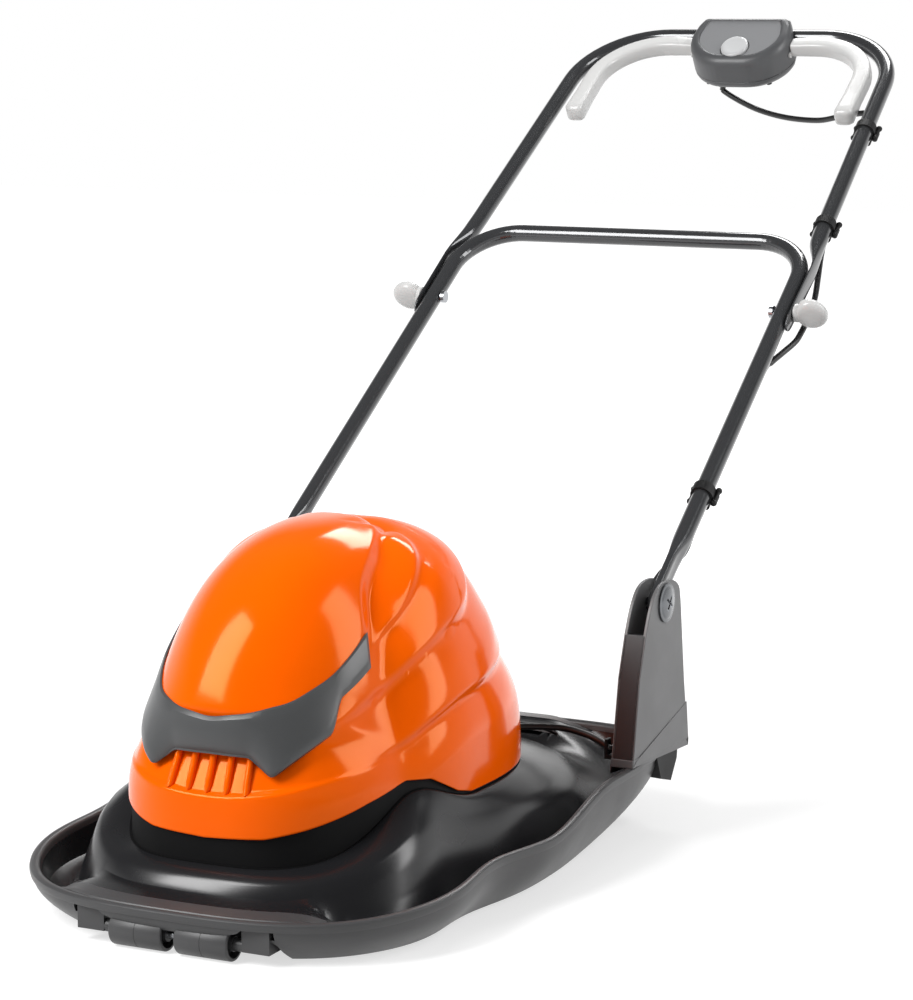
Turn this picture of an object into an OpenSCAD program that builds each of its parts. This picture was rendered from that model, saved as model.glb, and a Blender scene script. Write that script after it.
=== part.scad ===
// Electric hover mower with a belt-driven blade, a folding tube handle and a two-lever switch box.
// Millimetres. X is across the mower, Y runs from the front rollers to the hand bar, Z is up.
// The model is laid out from the front face of the axle blocks and then moved so that its
// bounding box is centred over the origin, with the floor at Z = 0.

/* [Hood] */
// Width of the hood across its rim
hood_w = 476; // [460:2:490]
// Length of the hood from front rim to rear rim
hood_len = 684; // [670:2:700]
// How far the rim stands ahead of the axle blocks
rim_overhang = 12; // [11:1:14]
// Height of the rim at the front
rim_front_h = 42; // [40:1:46]
// Height of the rim at the waist
rim_mid_h = 58; // [54:1:62]
// Height of the rim under the handle brackets
rim_rear_h = 84; // [80:1:88]
// How far the foot of the skirt is drawn in from the rim
skirt_in = 37; // [34:1:40]
// How far the foot of the skirt is drawn in at the rear
skirt_rear_in = 72; // [66:1:78]
// Depth of the waist in the rim, as a share of the half width
waist = 0.08; // [0:0.01:0.1]
// Height of the flat step around the rear of the dome
step_h = 62; // [58:1:66]
// Wall thickness of the hood
hood_wall = 3.5; // [3:0.5:4]

/* [Cover] */
// Distance from the axle blocks to the middle of the cover
cover_y = 300; // [296:1:304]
// Height of the cover's lower edge at the front
cover_z = 86; // [85:0.5:87]
// Half width of the front lobe
lobe_half_w = 140; // [134:1:146]
// Reach of the front lobe ahead of the middle
lobe_front = 242; // [236:1:246]
// Reach of the front lobe behind the middle
lobe_rear = 80; // [70:1:90]
// Height of the front lobe above the lower edge
lobe_h = 267; // [255:1:280]
// Half width of the rear body
body_half_w = 160; // [154:1:166]
// Reach of the rear body ahead of the middle
body_front = 176; // [170:1:182]
// Reach of the rear body behind the middle
body_rear = 228; // [220:1:236]
// Height of the rear body above the lower edge
body_h = 254; // [244:1:262]
// Wall thickness of the cover
cover_wall = 3; // [2.5:0.5:3.5]
// Thickness of the visor trim
visor_t = 3; // [2:0.5:4]

/* [Front rollers] */
// Radius of a front roller
roller_r = 16; // [14:0.5:16]
// Length of a front roller
roller_len = 55; // [50:1:57]
// Gap between the two rollers
roller_gap = 13; // [10:1:18]
// Radius of the front axle
axle_r = 4; // [3:0.5:5]
// Width of an axle block
block_w = 28; // [24:1:32]
// Distance of the axle behind the front face of the blocks
axle_y = 6; // [5:0.5:9]

/* [Drive] */
// Distance of the motor axis from the front face of the axle blocks
motor_y = 208; // [204:1:212]
// Distance of the blade axis from the front face of the axle blocks
spindle_y = 362; // [358:1:366]
// Cutting diameter of the blade
blade_d = 360; // [340:2:366]
// Height of the blade's lower face above the floor
blade_h = 14; // [12:1:16]
// Radius of the spindle
spindle_r = 7.5; // [6:0.5:8]
// Groove radius of the pulley on the spindle
big_pulley_r = 46; // [40:1:50]
// Groove radius of the pulley on the motor
small_pulley_r = 11; // [9:0.5:13]
// Radius of the impeller
impeller_r = 128; // [110:1:130]
// Outer radius of the motor can
can_r = 49; // [46:1:52]
// Height of the motor can
can_h = 98; // [94:1:106]

/* [Handle] */
// Outer radius of the handle tubes
tube_r = 10; // [9.5:0.5:10.5]
// Wall thickness of the handle tubes
tube_wall = 1.2; // [1:0.1:1.6]
// Distance of the handle pivot behind the axle blocks
pivot_y = 577; // [573:1:581]
// Height of the handle pivot
pivot_z = 238.6; // [234.6:1:242.6]
// Angle of the lower handle above the floor
lower_angle = 33.8; // [30:0.2:37]
// Distance of the handle pivots in from the hood's sides
pivot_in = 12.5; // [11:0.5:14]
// How far each lower tube leans in from the pivot to the crossbar
cross_in = 10.5; // [8.5:0.5:14.5]
// Distance from the pivot to the crossbar along the tubes
cross_s = 592; // [582:1:602]
// Distance from the pivot to the clamping knobs along the tubes
knob_s = 467; // [462:1:472]
// Bend radius of the crossbar's corners
cross_bend = 68; // [60:1:72]
// Angle of the upper handle above the floor
upper_angle = 33.2; // [31:0.2:35]
// How far each upper tube lies in from the pivot where it becomes round
upper_in = 6; // [4.5:0.5:7.5]
// How far each upper tube lies in from the pivot at the hand bar
bar_in = 21.5; // [17.5:0.5:25.5]
// Distance from the knobs to the hand bar along the tubes
bar_s = 544; // [536:1:552]
// Bend radius of the hand bar's corners
bar_bend = 105; // [95:1:112]
// Thickness of the flattened ends of the upper tubes
strap_t = 3; // [2:0.5:3.5]

/* [Brackets] */
// Inner width of a handle bracket
bracket_gap = 17; // [16:0.5:19]
// Wall thickness of a handle bracket
bracket_wall = 3.5; // [3:0.5:4]
// Radius of the handle pivot bolt
pivot_r = 4; // [3:0.5:5]
// Radius of the pivot bolt's domed cap
cap_r = 20; // [17:1:21]

/* [Switch box] */
// Half width of the switch box
box_half_w = 66; // [62:1:70]
// Reach of the box's nose down the handle from the hand bar
box_nose = 74; // [68:1:80]
// Reach of the box behind the hand bar
box_back = 13; // [13:1:16]
// Depth of the box's base below the hand bar's middle
box_below = 32; // [30:1:34]
// Height of the box's lid above the hand bar's middle
box_above = 14; // [13:1:16]
// Wall thickness of the box
box_wall = 3; // [2:0.5:3.5]
// Distance of the levers from the hand bar
lever_gap = 24; // [23:1:28]
// Width of a lever
lever_w = 14; // [10:1:16]
// Length of a lever's side arm
lever_arm = 68; // [50:1:80]
// Radius of the mains inlet's bore
inlet_r = 3.75; // [3:0.25:4.5]

/* [Lead] */
// Radius of the motor lead
lead_r = 3.5; // [3:0.25:4]

/* [Hidden] */
$fn = 48;

// Colours of the materials
charcoal = "#4a4b4d";
gloss_black = "#1c1d1f";
orange = "#f26a0c";
visor_grey = "#47484a";
graphite = "#55575a";
steel = "#b4b6b9";
copper = "#b0703c";
pale_grey = "#dcdddc";
rubber_black = "#161617";

// Fits and small clearances
run_fit = 0.05;
seat_gap = 0.3;
tiny = 0.01;

// Handle places in the layout
knob_y = pivot_y + knob_s * cos(lower_angle);
knob_z = pivot_z + knob_s * sin(lower_angle);
pivot_x = hood_w / 2 - pivot_in;
cross_x = pivot_x - cross_in;
upper_x = pivot_x - upper_in;
bar_x = pivot_x - bar_in;
lower_taper = atan((pivot_x - cross_x) / cross_s);
knob_x = pivot_x - knob_s * tan(lower_taper);
strap_x = knob_x + tube_r + 1;
round_s = cross_s - knob_s - 7;
inlet_len = 12;
inlet_wall = 4.25;

// Shift that centres the bounding box over the origin
y_front = -rim_overhang;
inlet_end = bar_s + box_back + inlet_len;
y_rear = knob_y + inlet_end * cos(upper_angle) + (inlet_r + inlet_wall) * sin(upper_angle);
y_mid = (y_front + y_rear) / 2;

// Heights in the drive train
ledge_z = 88;
plate_t = 4;
plate_top = ledge_z + plate_t;
belt_z = 56;
belt_h = 8;
hub_low = 68;
hub_r = 23;
bearing_or = 17.5;
bearing_h = 11;
motor_bearing_or = 11;
motor_bearing_h = 8;
motor_shaft_r = 4;
can_top = plate_top + can_h;
stator_r = 33;
blade_t = 3;
spacer_h = 8;
impeller_low = blade_h + blade_t + spacer_h;
impeller_hub_h = 22;
pulley_low = impeller_low + impeller_hub_h;

// Smooth step from 0 at a to 1 at b
function smooth(a, b, t) = let (u = max(0, min(1, (t - a) / (b - a)))) u * u * (3 - 2 * u);

// Radius of a rounded-box outline in the direction th, measured from the front
function oval_r(th, side, front, rear, p) =
    let (b = cos(th) > 0 ? front : rear)
    pow(pow(abs(sin(th)) / side, p) + pow(abs(cos(th)) / b, p), -1 / p);

// Radius of one egg form of the cover in the direction th, ph
function egg_r(th, ph, side, front, rear, h, p, q) =
    pow(pow(cos(ph) / oval_r(th, side, front, rear, p), q) + pow(sin(ph) / h, q), -1 / q);

// Radius of the cover: the larger of its front lobe and its rear body
function cover_r(th, ph) = max(
    egg_r(th, ph, lobe_half_w, lobe_front, lobe_rear, lobe_h, 3 - 0.7 * smooth(8, 36, ph), 2.4),
    egg_r(th, ph, body_half_w, body_front, body_rear, body_h, 2.05, 2.6));

// Point of the cover moved out along its own ray
function cover_pt(th, ph, out) =
    let (r = cover_r(th, ph) + out)
    [r * cos(ph) * sin(th), cover_y - r * cos(ph) * cos(th), cover_z + r * sin(ph)];

// Height of the cover's lower edge: an arch is cut out at each side
edge_rise = [
    [0, 7], [14, 10], [23, 18], [38, 33], [52, 43], [62, 40], [75, 22], [84, 16], [100, 15], [125, 13], [180, 11]
];
function turn(th) = let (w = th > 180 ? th - 360 : th) abs(w);
function edge_z(th) = cover_z + lookup(turn(th), edge_rise);
function edge_ph(th) = asin((edge_z(th) - cover_z) / cover_r(th, 0));

// Height of the rim along the hood
function rim_z(y) =
    rim_front_h + (rim_mid_h - rim_front_h) * smooth(0, 240, y)
    + (rim_rear_h - rim_mid_h) * smooth(300, 450, y);

// Height of the gully's floor: a pad over the rollers lifts it at the front
arch_top = 33.2;
function gully_z(x, y) =
    16 + 0.4 * (rim_z(y) - rim_front_h) + 16 * smooth(420, 560, y)
    + (arch_top + hood_wall - 16) * (1 - smooth(104, 132, abs(x))) * (1 - smooth(46, 70, y));

// Rings of the hood, from the foot of the skirt over the rim and the dome and back underneath.
// Each has a kind, insets at side, front and rear, two exponents, a height rule and a height.
foot_f = skirt_in - 5;
hood_rings = [
    ["rim", skirt_in, foot_f, skirt_rear_in, 2.9, 3.4, "floor", 0],
    ["rim", 26, 24, 40, 2.9, 4, "gully", -5],
    ["rim", 7, 7, 7, 2.9, 6, "rim", -15],
    ["rim", 0, 0, 0, 2.9, 6, "rim", -7],
    ["rim", 1, 1, 1, 2.9, 6, "rim", -1],
    ["rim", 7, 7, 7, 2.9, 6, "rim", 0],
    ["rim", 10, 10, 10, 2.9, 6, "rim", -5],
    ["rim", 13, 13, 13, 2.9, 6, "gully", 3],
    ["rim", 18, 18, 18, 2.9, 5, "gully", 0],
    ["rim", 36, 36, 42, 2.8, 4, "gully", 1],
    ["rim", 46, 48, 62, 2.6, 3, "floor", step_h - 9],
    ["rim", 56, 55, 74, 2.6, 2.6, "floor", step_h],
    ["cover", -2, 0, 0, 0, 0, "floor", step_h + 6],
    ["cover", cover_wall + 0.4, 0, 0, 0, 0, "floor", step_h + 9],
    ["cover", cover_wall + 0.4, 0, 0, 0, 0, "edge", 2],
    ["cover", cover_wall + 6, 0, 0, 0, 0, "edge", 2],
    ["cover", cover_wall + 11, 0, 0, 0, 0, "floor", ledge_z],
    ["cover", cover_wall + 27, 0, 0, 0, 0, "floor", ledge_z],
    ["cover", cover_wall + 27, 0, 0, 0, 0, "floor", ledge_z - hood_wall],
    ["cover", cover_wall + 5, 0, 0, 0, 0, "floor", ledge_z - hood_wall],
    ["cover", cover_wall + 4, 0, 0, 0, 0, "floor", step_h + 3],
    ["rim", 60, 59, 78, 2.6, 2.6, "floor", step_h - hood_wall],
    ["rim", 50, 52, 66, 2.6, 3, "floor", step_h - 9 - hood_wall],
    ["rim", 40, 40, 46, 2.8, 4, "gully", 1 - hood_wall],
    ["rim", 30, 28, 44, 2.9, 4, "gully", -hood_wall],
    ["rim", skirt_in + 4, foot_f + 4, skirt_rear_in + 4, 2.9, 3.4, "floor", 0]
];

// How far the cover's seat leans in for each millimetre of the edge's rise
edge_lean = 0.04;
function hood_pt(ring, th) =
    let (
        p = cos(th) > 0 ? ring[4] : ring[5],
        front = cover_y + rim_overhang - ring[2],
        rear = hood_len - cover_y - rim_overhang - ring[3],
        r = ring[0] == "rim" ? oval_r(th, hood_w / 2 - ring[1], front, rear, p)
            : cover_r(th, 0) - ring[1] - (ring[6] == "edge" ? edge_lean * (edge_z(th) - cover_z) : 0),
        y = cover_y - r * cos(th),
        narrow = ring[0] == "rim" ? 1 - waist * exp(-pow((y - 218) / 70, 2)) : 1,
        x = r * sin(th) * narrow,
        z = ring[6] == "rim" ? rim_z(y) + ring[7]
            : ring[6] == "gully" ? gully_z(x, y) + ring[7]
            : ring[6] == "edge" ? edge_z(th) + ring[7]
            : ring[7]
    )
    [x, y, z];

// Closed band of rings that joins its last ring to its first
module ring_band(rings, n) {
    count = len(rings);
    pts = [for (k = [0:count - 1]) for (i = [0:n - 1]) rings[k][i]];
    at = function(k, i) (k % count) * n + i % n;
    faces = [
        for (k = [0:count - 1]) for (i = [0:n - 1])
            each [
                [at(k, i), at(k + 1, i), at(k + 1, i + 1)],
                [at(k, i), at(k + 1, i + 1), at(k, i + 1)]
            ]
    ];
    polyhedron(pts, faces);
}

// Patch of the cover's skin between two heights, from depth low to depth high
module cover_patch(th0, th1, n, m, ph_low, ph_high, low, high) {
    grid = [
        for (i = [0:n])
            let (th = th0 + (th1 - th0) * i / n, a = ph_low(th), b = ph_high(th))
            concat(
                [for (j = [0:m]) cover_pt(th, a + (b - a) * j / m, high)],
                [for (j = [m:-1:0]) cover_pt(th, a + (b - a) * j / m, low)])
    ];
    loop = 2 * (m + 1);
    pts = [for (row = grid) each row];
    sides = [
        for (i = [0:n - 1]) for (j = [0:loop - 1])
            let (a = i * loop + j, b = i * loop + (j + 1) % loop)
            each [[a, a + loop, b + loop], [a, b + loop, b]]
    ];
    start = [
        for (j = [0:m - 1])
            each [[j, j + 1, loop - 2 - j], [j, loop - 2 - j, loop - 1 - j]]
    ];
    last = n * loop;
    finish = [for (f = start) [last + f[2], last + f[1], last + f[0]]];
    polyhedron(pts, concat(sides, start, finish));
}

// Point on a smooth curve through four points
function curve_pt(a, b, c, d, t) =
    0.5 * (2 * b + (c - a) * t + (2 * a - 5 * b + 4 * c - d) * t * t
        + (3 * b - a - 3 * c + d) * t * t * t);

// Smooth curve through a route, with a number of steps between its points
function smooth_route(p, steps) = [
    for (i = [0:len(p) - 2]) for (k = [0:steps - 1])
        curve_pt(p[max(i - 1, 0)], p[i], p[i + 1], p[min(i + 2, len(p) - 1)], k / steps),
    p[len(p) - 1]
];

function unit(v) = v / norm(v);

// Round tube along a route of points; up is never along the route
module swept(route, r, sides, up) {
    n = len(route);
    rings = [
        for (i = [0:n - 1])
            let (
                dir = unit(route[min(i + 1, n - 1)] - route[max(i - 1, 0)]),
                u = unit(cross(up, dir)),
                w = cross(dir, u)
            )
            [for (k = [0:sides - 1])
                let (a = 360 * k / sides) route[i] + r * (cos(a) * u + sin(a) * w)]
    ];
    pts = [for (ring = rings) each ring];
    walls = [
        for (i = [0:n - 2]) for (k = [0:sides - 1])
            let (a = i * sides + k, b = i * sides + (k + 1) % sides)
            each [[a, b + sides, b], [a, a + sides, b + sides]]
    ];
    ends = [
        [for (k = [0:sides - 1]) k],
        [for (k = [sides - 1:-1:0]) (n - 1) * sides + k]
    ];
    polyhedron(pts, concat(walls, ends));
}

// Whole model moved from the layout to its own frame
module in_frame() translate([0, -y_mid, 0]) children();

// Frames that lie along the handles: X across, Y up the tubes, Z square to them
module lower_frame() in_frame() translate([0, pivot_y, pivot_z]) rotate([lower_angle, 0, 0]) children();
module upper_frame() in_frame() translate([0, knob_y, knob_z]) rotate([upper_angle, 0, 0]) children();
module both_sides() {
    children();
    mirror([1, 0, 0]) children();
}
module along_x(x0, x1, r) translate([x0, 0, 0]) rotate([0, 90, 0]) cylinder(r = r, h = x1 - x0);
module ring(r_out, r_in, h) {
    difference() {
        cylinder(r = r_out, h = h);
        translate([0, 0, -1]) cylinder(r = r_in, h = h + 2);
    }
}
module box(x, y, z) translate([x[0], y[0], z[0]]) cube([x[1] - x[0], y[1] - y[0], z[1] - z[0]]);

// Hood, with an arch over the rollers
hood_sides = 80;
block_x1 = roller_gap / 2 + roller_len + 10;
block_x2 = block_x1 + block_w;
module hood() {
    color(charcoal) in_frame() difference() {
        ring_band([
            for (ring = hood_rings) [for (i = [0:hood_sides - 1]) hood_pt(ring, 360 * i / hood_sides)]
        ], hood_sides);
        box([-block_x2 - 8, block_x2 + 8], [-rim_overhang - 10, 62], [-1, 26]);
        box([-block_x2 - 4, block_x2 + 4], [-rim_overhang + 6, 50], [-1, arch_top]);
    }
}

// Axle blocks, axle and rollers
axle_z = roller_r;
block_low = 11.5;
module axle_blocks() {
    color(charcoal) in_frame() both_sides() difference() {
        union() {
            box([block_x1, block_x2], [0, 46], [block_low, arch_top]);
            translate([0, axle_y, axle_z]) along_x(block_x1 - 9.5, block_x1 + 1, axle_r + 2);
        }
        translate([0, axle_y, axle_z]) along_x(block_x1 - 10, block_x2 - 4, axle_r + run_fit);
    }
}
module front_axle() {
    color(steel) in_frame() translate([0, axle_y, axle_z])
        along_x(-(block_x2 - 4.5), block_x2 - 4.5, axle_r);
}
module roller() {
    x0 = roller_gap / 2;
    difference() {
        along_x(x0, x0 + roller_len, roller_r);
        along_x(x0 - 1, x0 + roller_len + 1, axle_r + run_fit);
        for (x = [x0 - 1, x0 + roller_len - 10]) {
            translate([x, 0, 0]) rotate([0, 90, 0]) ring(roller_r - 3, axle_r + 3, 11);
        }
    }
}
module left_roller() color(charcoal) in_frame() translate([0, axle_y, axle_z]) mirror([1, 0, 0]) roller();
module right_roller() color(charcoal) in_frame() translate([0, axle_y, axle_z]) roller();

// Handle brackets: two plates with webs on a base flange
bracket_x1 = pivot_x - bracket_gap / 2 - bracket_wall;
bracket_x2 = pivot_x + bracket_gap / 2 + bracket_wall;
flange_t = 8;
base_z = rim_rear_h;
plate_front = -83;
plate_rear = 65;
web_top = -25;
screw_r = 2;
bracket_screw_y = [-66, -20, 58];
base_drop = base_z - pivot_z;
bracket_screw_x = pivot_x + 0.5;
module plate_outline() {
    polygon([
        [plate_front, base_drop], [-66, -67], [-51, web_top], [-40, -3], [-27, 13], [-14, 20], [0, 22], [16, 21],
        [30, 16], [38, 8], [42, -11], [53, -91], [plate_rear, base_drop]
    ]);
}
module side_plate(x0) translate([x0, 0, 0]) rotate([90, 0, 90]) linear_extrude(bracket_wall) plate_outline();
module bracket() {
    difference() {
        union() {
            side_plate(bracket_x1);
            side_plate(bracket_x2 - bracket_wall);
            box([bracket_x1, bracket_x2], [plate_front, plate_rear], [base_drop, base_drop + flange_t]);
            translate([bracket_x1, 0, 0]) rotate([90, 0, 90]) linear_extrude(bracket_x2 - bracket_x1) polygon([
                [plate_front, base_drop], [-66, -67], [-51, web_top], [-47, web_top], [-62, -67], [plate_front + 4, base_drop]
            ]);
            box([pivot_x - 6, bracket_x2], [17, 21], [base_drop, -2.2]);
        }
        along_x(bracket_x1 - 1, bracket_x2 + 1, pivot_r + run_fit);
        for (y = bracket_screw_y) {
            translate([bracket_screw_x, y, base_drop - 1]) cylinder(r = screw_r + run_fit, h = flange_t + 2);
        }
    }
}
module at_pivot() in_frame() translate([0, pivot_y, pivot_z]) children();
module right_bracket() color(charcoal) at_pivot() bracket();
module left_bracket() color(charcoal) at_pivot() mirror([1, 0, 0]) bracket();
module bracket_screws() {
    color(steel) at_pivot() both_sides() for (y = bracket_screw_y) {
        translate([bracket_screw_x, y, base_drop]) {
            translate([0, 0, flange_t]) cylinder(r = 4, h = 2.5);
            translate([0, 0, -6]) cylinder(r = screw_r, h = flange_t + 7);
        }
    }
}
module bracket_heels() {
    color(rubber_black) at_pivot() both_sides() translate([pivot_x - 6, 0, 0])
        rotate([90, 0, 90]) linear_extrude(12) polygon([
            [-8, base_drop], [52, base_drop], [50, base_drop - 18], [34, base_drop - 39], [7, base_drop - 31]
        ]);
}
module pivot_bolts() {
    color(steel) at_pivot() both_sides() {
        along_x(bracket_x1 - 7, bracket_x2 + tiny, pivot_r);
        translate([bracket_x2, 0, 0]) rotate([0, 90, 0]) {
            cylinder(r = cap_r, h = 1.5);
            translate([0, 0, 1.5]) cylinder(r1 = cap_r, r2 = cap_r - 8, h = 3);
        }
    }
}
module pivot_nuts() {
    color(steel) at_pivot() both_sides() difference() {
        along_x(bracket_x1 - 6, bracket_x1, 7);
        along_x(bracket_x1 - 7, bracket_x1 + 1, pivot_r + run_fit);
    }
}

// Cover shell, its visor and its vent fins
cover_n = 60;
cover_m = 18;
top_ph = 88.5;
module cover() {
    ths = [for (i = [0:cover_n - 1]) 360 * i / cover_n];
    ph = function(th, j) let (a = edge_ph(th)) a + (top_ph - a) * j / cover_m;
    outer = [for (j = [0:cover_m]) [for (th = ths) cover_pt(th, ph(th, j), 0)]];
    inner = [for (j = [0:cover_m]) [for (th = ths) cover_pt(th, ph(th, j), -cover_wall)]];
    pts = concat([for (r = outer) each r], [for (r = inner) each r],
        [[0, cover_y, cover_z + lobe_h], [0, cover_y, cover_z + lobe_h - cover_wall]]);
    half = (cover_m + 1) * cover_n;
    at = function(side, j, i) side * half + j * cover_n + i % cover_n;
    skins = [
        for (j = [0:cover_m - 1]) for (i = [0:cover_n - 1])
            each [
                [at(0, j, i), at(0, j + 1, i), at(0, j + 1, i + 1)],
                [at(0, j, i), at(0, j + 1, i + 1), at(0, j, i + 1)],
                [at(1, j, i), at(1, j + 1, i + 1), at(1, j + 1, i)],
                [at(1, j, i), at(1, j, i + 1), at(1, j + 1, i + 1)]
            ]
    ];
    ends = [
        for (i = [0:cover_n - 1])
            each [
                [at(0, 0, i), at(0, 0, i + 1), at(1, 0, i + 1)],
                [at(0, 0, i), at(1, 0, i + 1), at(1, 0, i)],
                [at(0, cover_m, i), 2 * half, at(0, cover_m, i + 1)],
                [at(1, cover_m, i), at(1, cover_m, i + 1), 2 * half + 1]
            ]
    ];
    color(orange) in_frame() polyhedron(pts, concat(skins, ends));
}
visor_low = [[0, 19.6], [9, 19.4], [14, 15.2], [27, 24.6], [30, 33], [43, 46.5]];
visor_top = [[0, 26.8], [12, 28.8], [21, 33.5], [31, 41.6], [41, 50.5], [43, 50]];
module visor() {
    color(visor_grey) in_frame() cover_patch(-43, 43, 42, 3,
        function(th) lookup(abs(th), visor_low), function(th) lookup(abs(th), visor_top),
        seat_gap, seat_gap + visor_t);
}
fin_angles = [-9.6, -4.8, 0, 4.8, 9.6];
module vent_fins() {
    color(orange) in_frame() for (a = fin_angles) {
        cover_patch(a - 0.9, a + 0.9, 2, 3, function(th) 11.8, function(th) 17.6, seat_gap, 5);
    }
}
cover_screw_th = [-128, 128];
module cover_screws() {
    color(steel) in_frame() for (th = cover_screw_th) {
        p = cover_pt(th, 3.6, 0);
        translate(p) rotate([0, 0, th]) rotate([90, 0, 0]) {
            translate([0, 0, -0.4]) cylinder(r = 4.5, h = 2.4);
            translate([0, 0, -8]) cylinder(r = screw_r, h = 9);
        }
    }
}

// Motor plate with the bearing hub
plate_n = 72;
plate_screw_th = [20, 75, 130, 180, 230, 285, 340];
function plate_edge(th, inset) =
    let (r = cover_r(th, 0) - inset) [r * sin(th), cover_y - r * cos(th)];
plate_screw_in = cover_wall + 20;
module motor_plate() {
    color(gloss_black) in_frame() difference() {
        union() {
            translate([0, 0, ledge_z]) linear_extrude(plate_t)
                polygon([for (i = [0:plate_n - 1]) plate_edge(360 * i / plate_n, cover_wall + 12.5)]);
            translate([0, spindle_y, hub_low]) cylinder(r = hub_r, h = plate_top + 18 - hub_low);
            translate([0, motor_y, ledge_z - motor_bearing_h]) cylinder(r = motor_bearing_or + 4, h = motor_bearing_h + plate_t);
        }
        translate([0, spindle_y, hub_low - 1]) cylinder(r = bearing_or - 4, h = 60);
        for (z = [hub_low - 1, plate_top + 18 - bearing_h]) {
            translate([0, spindle_y, z]) cylinder(r = bearing_or, h = bearing_h + 1);
        }
        translate([0, motor_y, ledge_z - motor_bearing_h - 1]) cylinder(r = motor_bearing_or, h = motor_bearing_h + 1);
        translate([0, motor_y, ledge_z - 1]) cylinder(r = motor_bearing_or - 3, h = plate_t + 2);
        for (th = plate_screw_th) {
            translate(concat(plate_edge(th, plate_screw_in), [ledge_z - 1])) cylinder(r = screw_r + run_fit, h = plate_t + 2);
        }
    }
}
module plate_screws() {
    color(steel) in_frame() for (th = plate_screw_th) {
        translate(concat(plate_edge(th, plate_screw_in), [plate_top])) {
            cylinder(r = 4, h = 2.5);
            translate([0, 0, -plate_t - 6]) cylinder(r = screw_r, h = plate_t + 7);
        }
    }
}

// Motor
module at_motor() in_frame() translate([0, motor_y, 0]) children();
fan_z = plate_top + 3;
fan_h = 12;
stator_low = plate_top + 22;
stator_h = 52;
commutator_z = can_top - 18;
commutator_r = 12;
module motor_can() {
    color(steel) at_motor() union() {
        translate([0, 0, plate_top]) ring(can_r, can_r - 2.5, can_h);
        translate([0, 0, stator_low]) ring(can_r - 2, stator_r, stator_h);
    }
}
module motor_end_cap() {
    color(charcoal) at_motor() difference() {
        union() {
            translate([0, 0, can_top]) cylinder(r = can_r, h = 4);
            translate([0, 0, can_top]) cylinder(r = motor_bearing_or + 4, h = motor_bearing_h + 6);
        }
        translate([0, 0, can_top - 1]) cylinder(r = motor_bearing_or, h = motor_bearing_h + 1);
        translate([0, 0, can_top - 1]) cylinder(r = motor_bearing_or - 3, h = motor_bearing_h + 4);
    }
}
module brushes() {
    color(gloss_black) at_motor() for (a = [0, 180]) rotate([0, 0, a])
        box([commutator_r + seat_gap, commutator_r + 20], [-4, 4], [commutator_z + 4, can_top]);
}
module motor_bearings() {
    color(steel) at_motor() for (z = [ledge_z - motor_bearing_h, can_top]) {
        translate([0, 0, z]) ring(motor_bearing_or - run_fit, motor_shaft_r + run_fit, motor_bearing_h - 0.2);
    }
}
module motor_shaft() {
    color(steel) at_motor() translate([0, 0, pulley_low]) cylinder(r = motor_shaft_r, h = can_top + motor_bearing_h - pulley_low);
}
module armature() {
    color(copper) at_motor() difference() {
        union() {
            translate([0, 0, stator_low]) cylinder(r = stator_r - 0.8, h = stator_h);
            translate([0, 0, stator_low - 3]) cylinder(r = stator_r - 8, h = stator_h + 8);
            translate([0, 0, stator_low]) cylinder(r = commutator_r, h = can_top - 2 - stator_low);
        }
        translate([0, 0, stator_low - 4]) cylinder(r = motor_shaft_r, h = can_h);
    }
}
fan_blades = 9;
module cooling_fan() {
    color(pale_grey) at_motor() translate([0, 0, fan_z]) difference() {
        union() {
            cylinder(r = can_r - 8, h = 2);
            cylinder(r = 9, h = fan_h);
            for (i = [0:fan_blades - 1]) rotate([0, 0, 360 * i / fan_blades])
                box([8, can_r - 8.5], [-0.8, 0.8], [1, fan_h]);
        }
        translate([0, 0, -1]) cylinder(r = motor_shaft_r, h = fan_h + 2);
    }
}
// Pulley with a groove for the belt
module pulley(groove_r, bore_r) {
    rotate_extrude() polygon([
        [bore_r, 0], [groove_r + 4, 0], [groove_r + 4, 1.5], [groove_r, 3], [groove_r, belt_h + 3.6],
        [groove_r + 4, belt_h + 5.1], [groove_r + 4, belt_h + 6.6], [bore_r, belt_h + 6.6]
    ]);
}
module motor_pulley() color(steel) at_motor() translate([0, 0, pulley_low]) pulley(small_pulley_r, motor_shaft_r);
module belt_loop(grow) {
    hull() {
        translate([0, motor_y]) circle(r = small_pulley_r + grow);
        translate([0, spindle_y]) circle(r = big_pulley_r + grow);
    }
}
belt_t = 3;
module drive_belt() {
    color(rubber_black) in_frame() translate([0, 0, pulley_low + 3.3]) linear_extrude(belt_h) difference() {
        belt_loop(seat_gap + belt_t);
        belt_loop(seat_gap);
    }
}
module terminal_block() {
    color(pale_grey) in_frame() difference() {
        box([-92, -52], [320, 342], [plate_top, plate_top + 20]);
        for (x = [-82, -72, -62]) translate([x, 331, plate_top + 8]) cylinder(r = 3, h = 20);
    }
}

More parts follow.
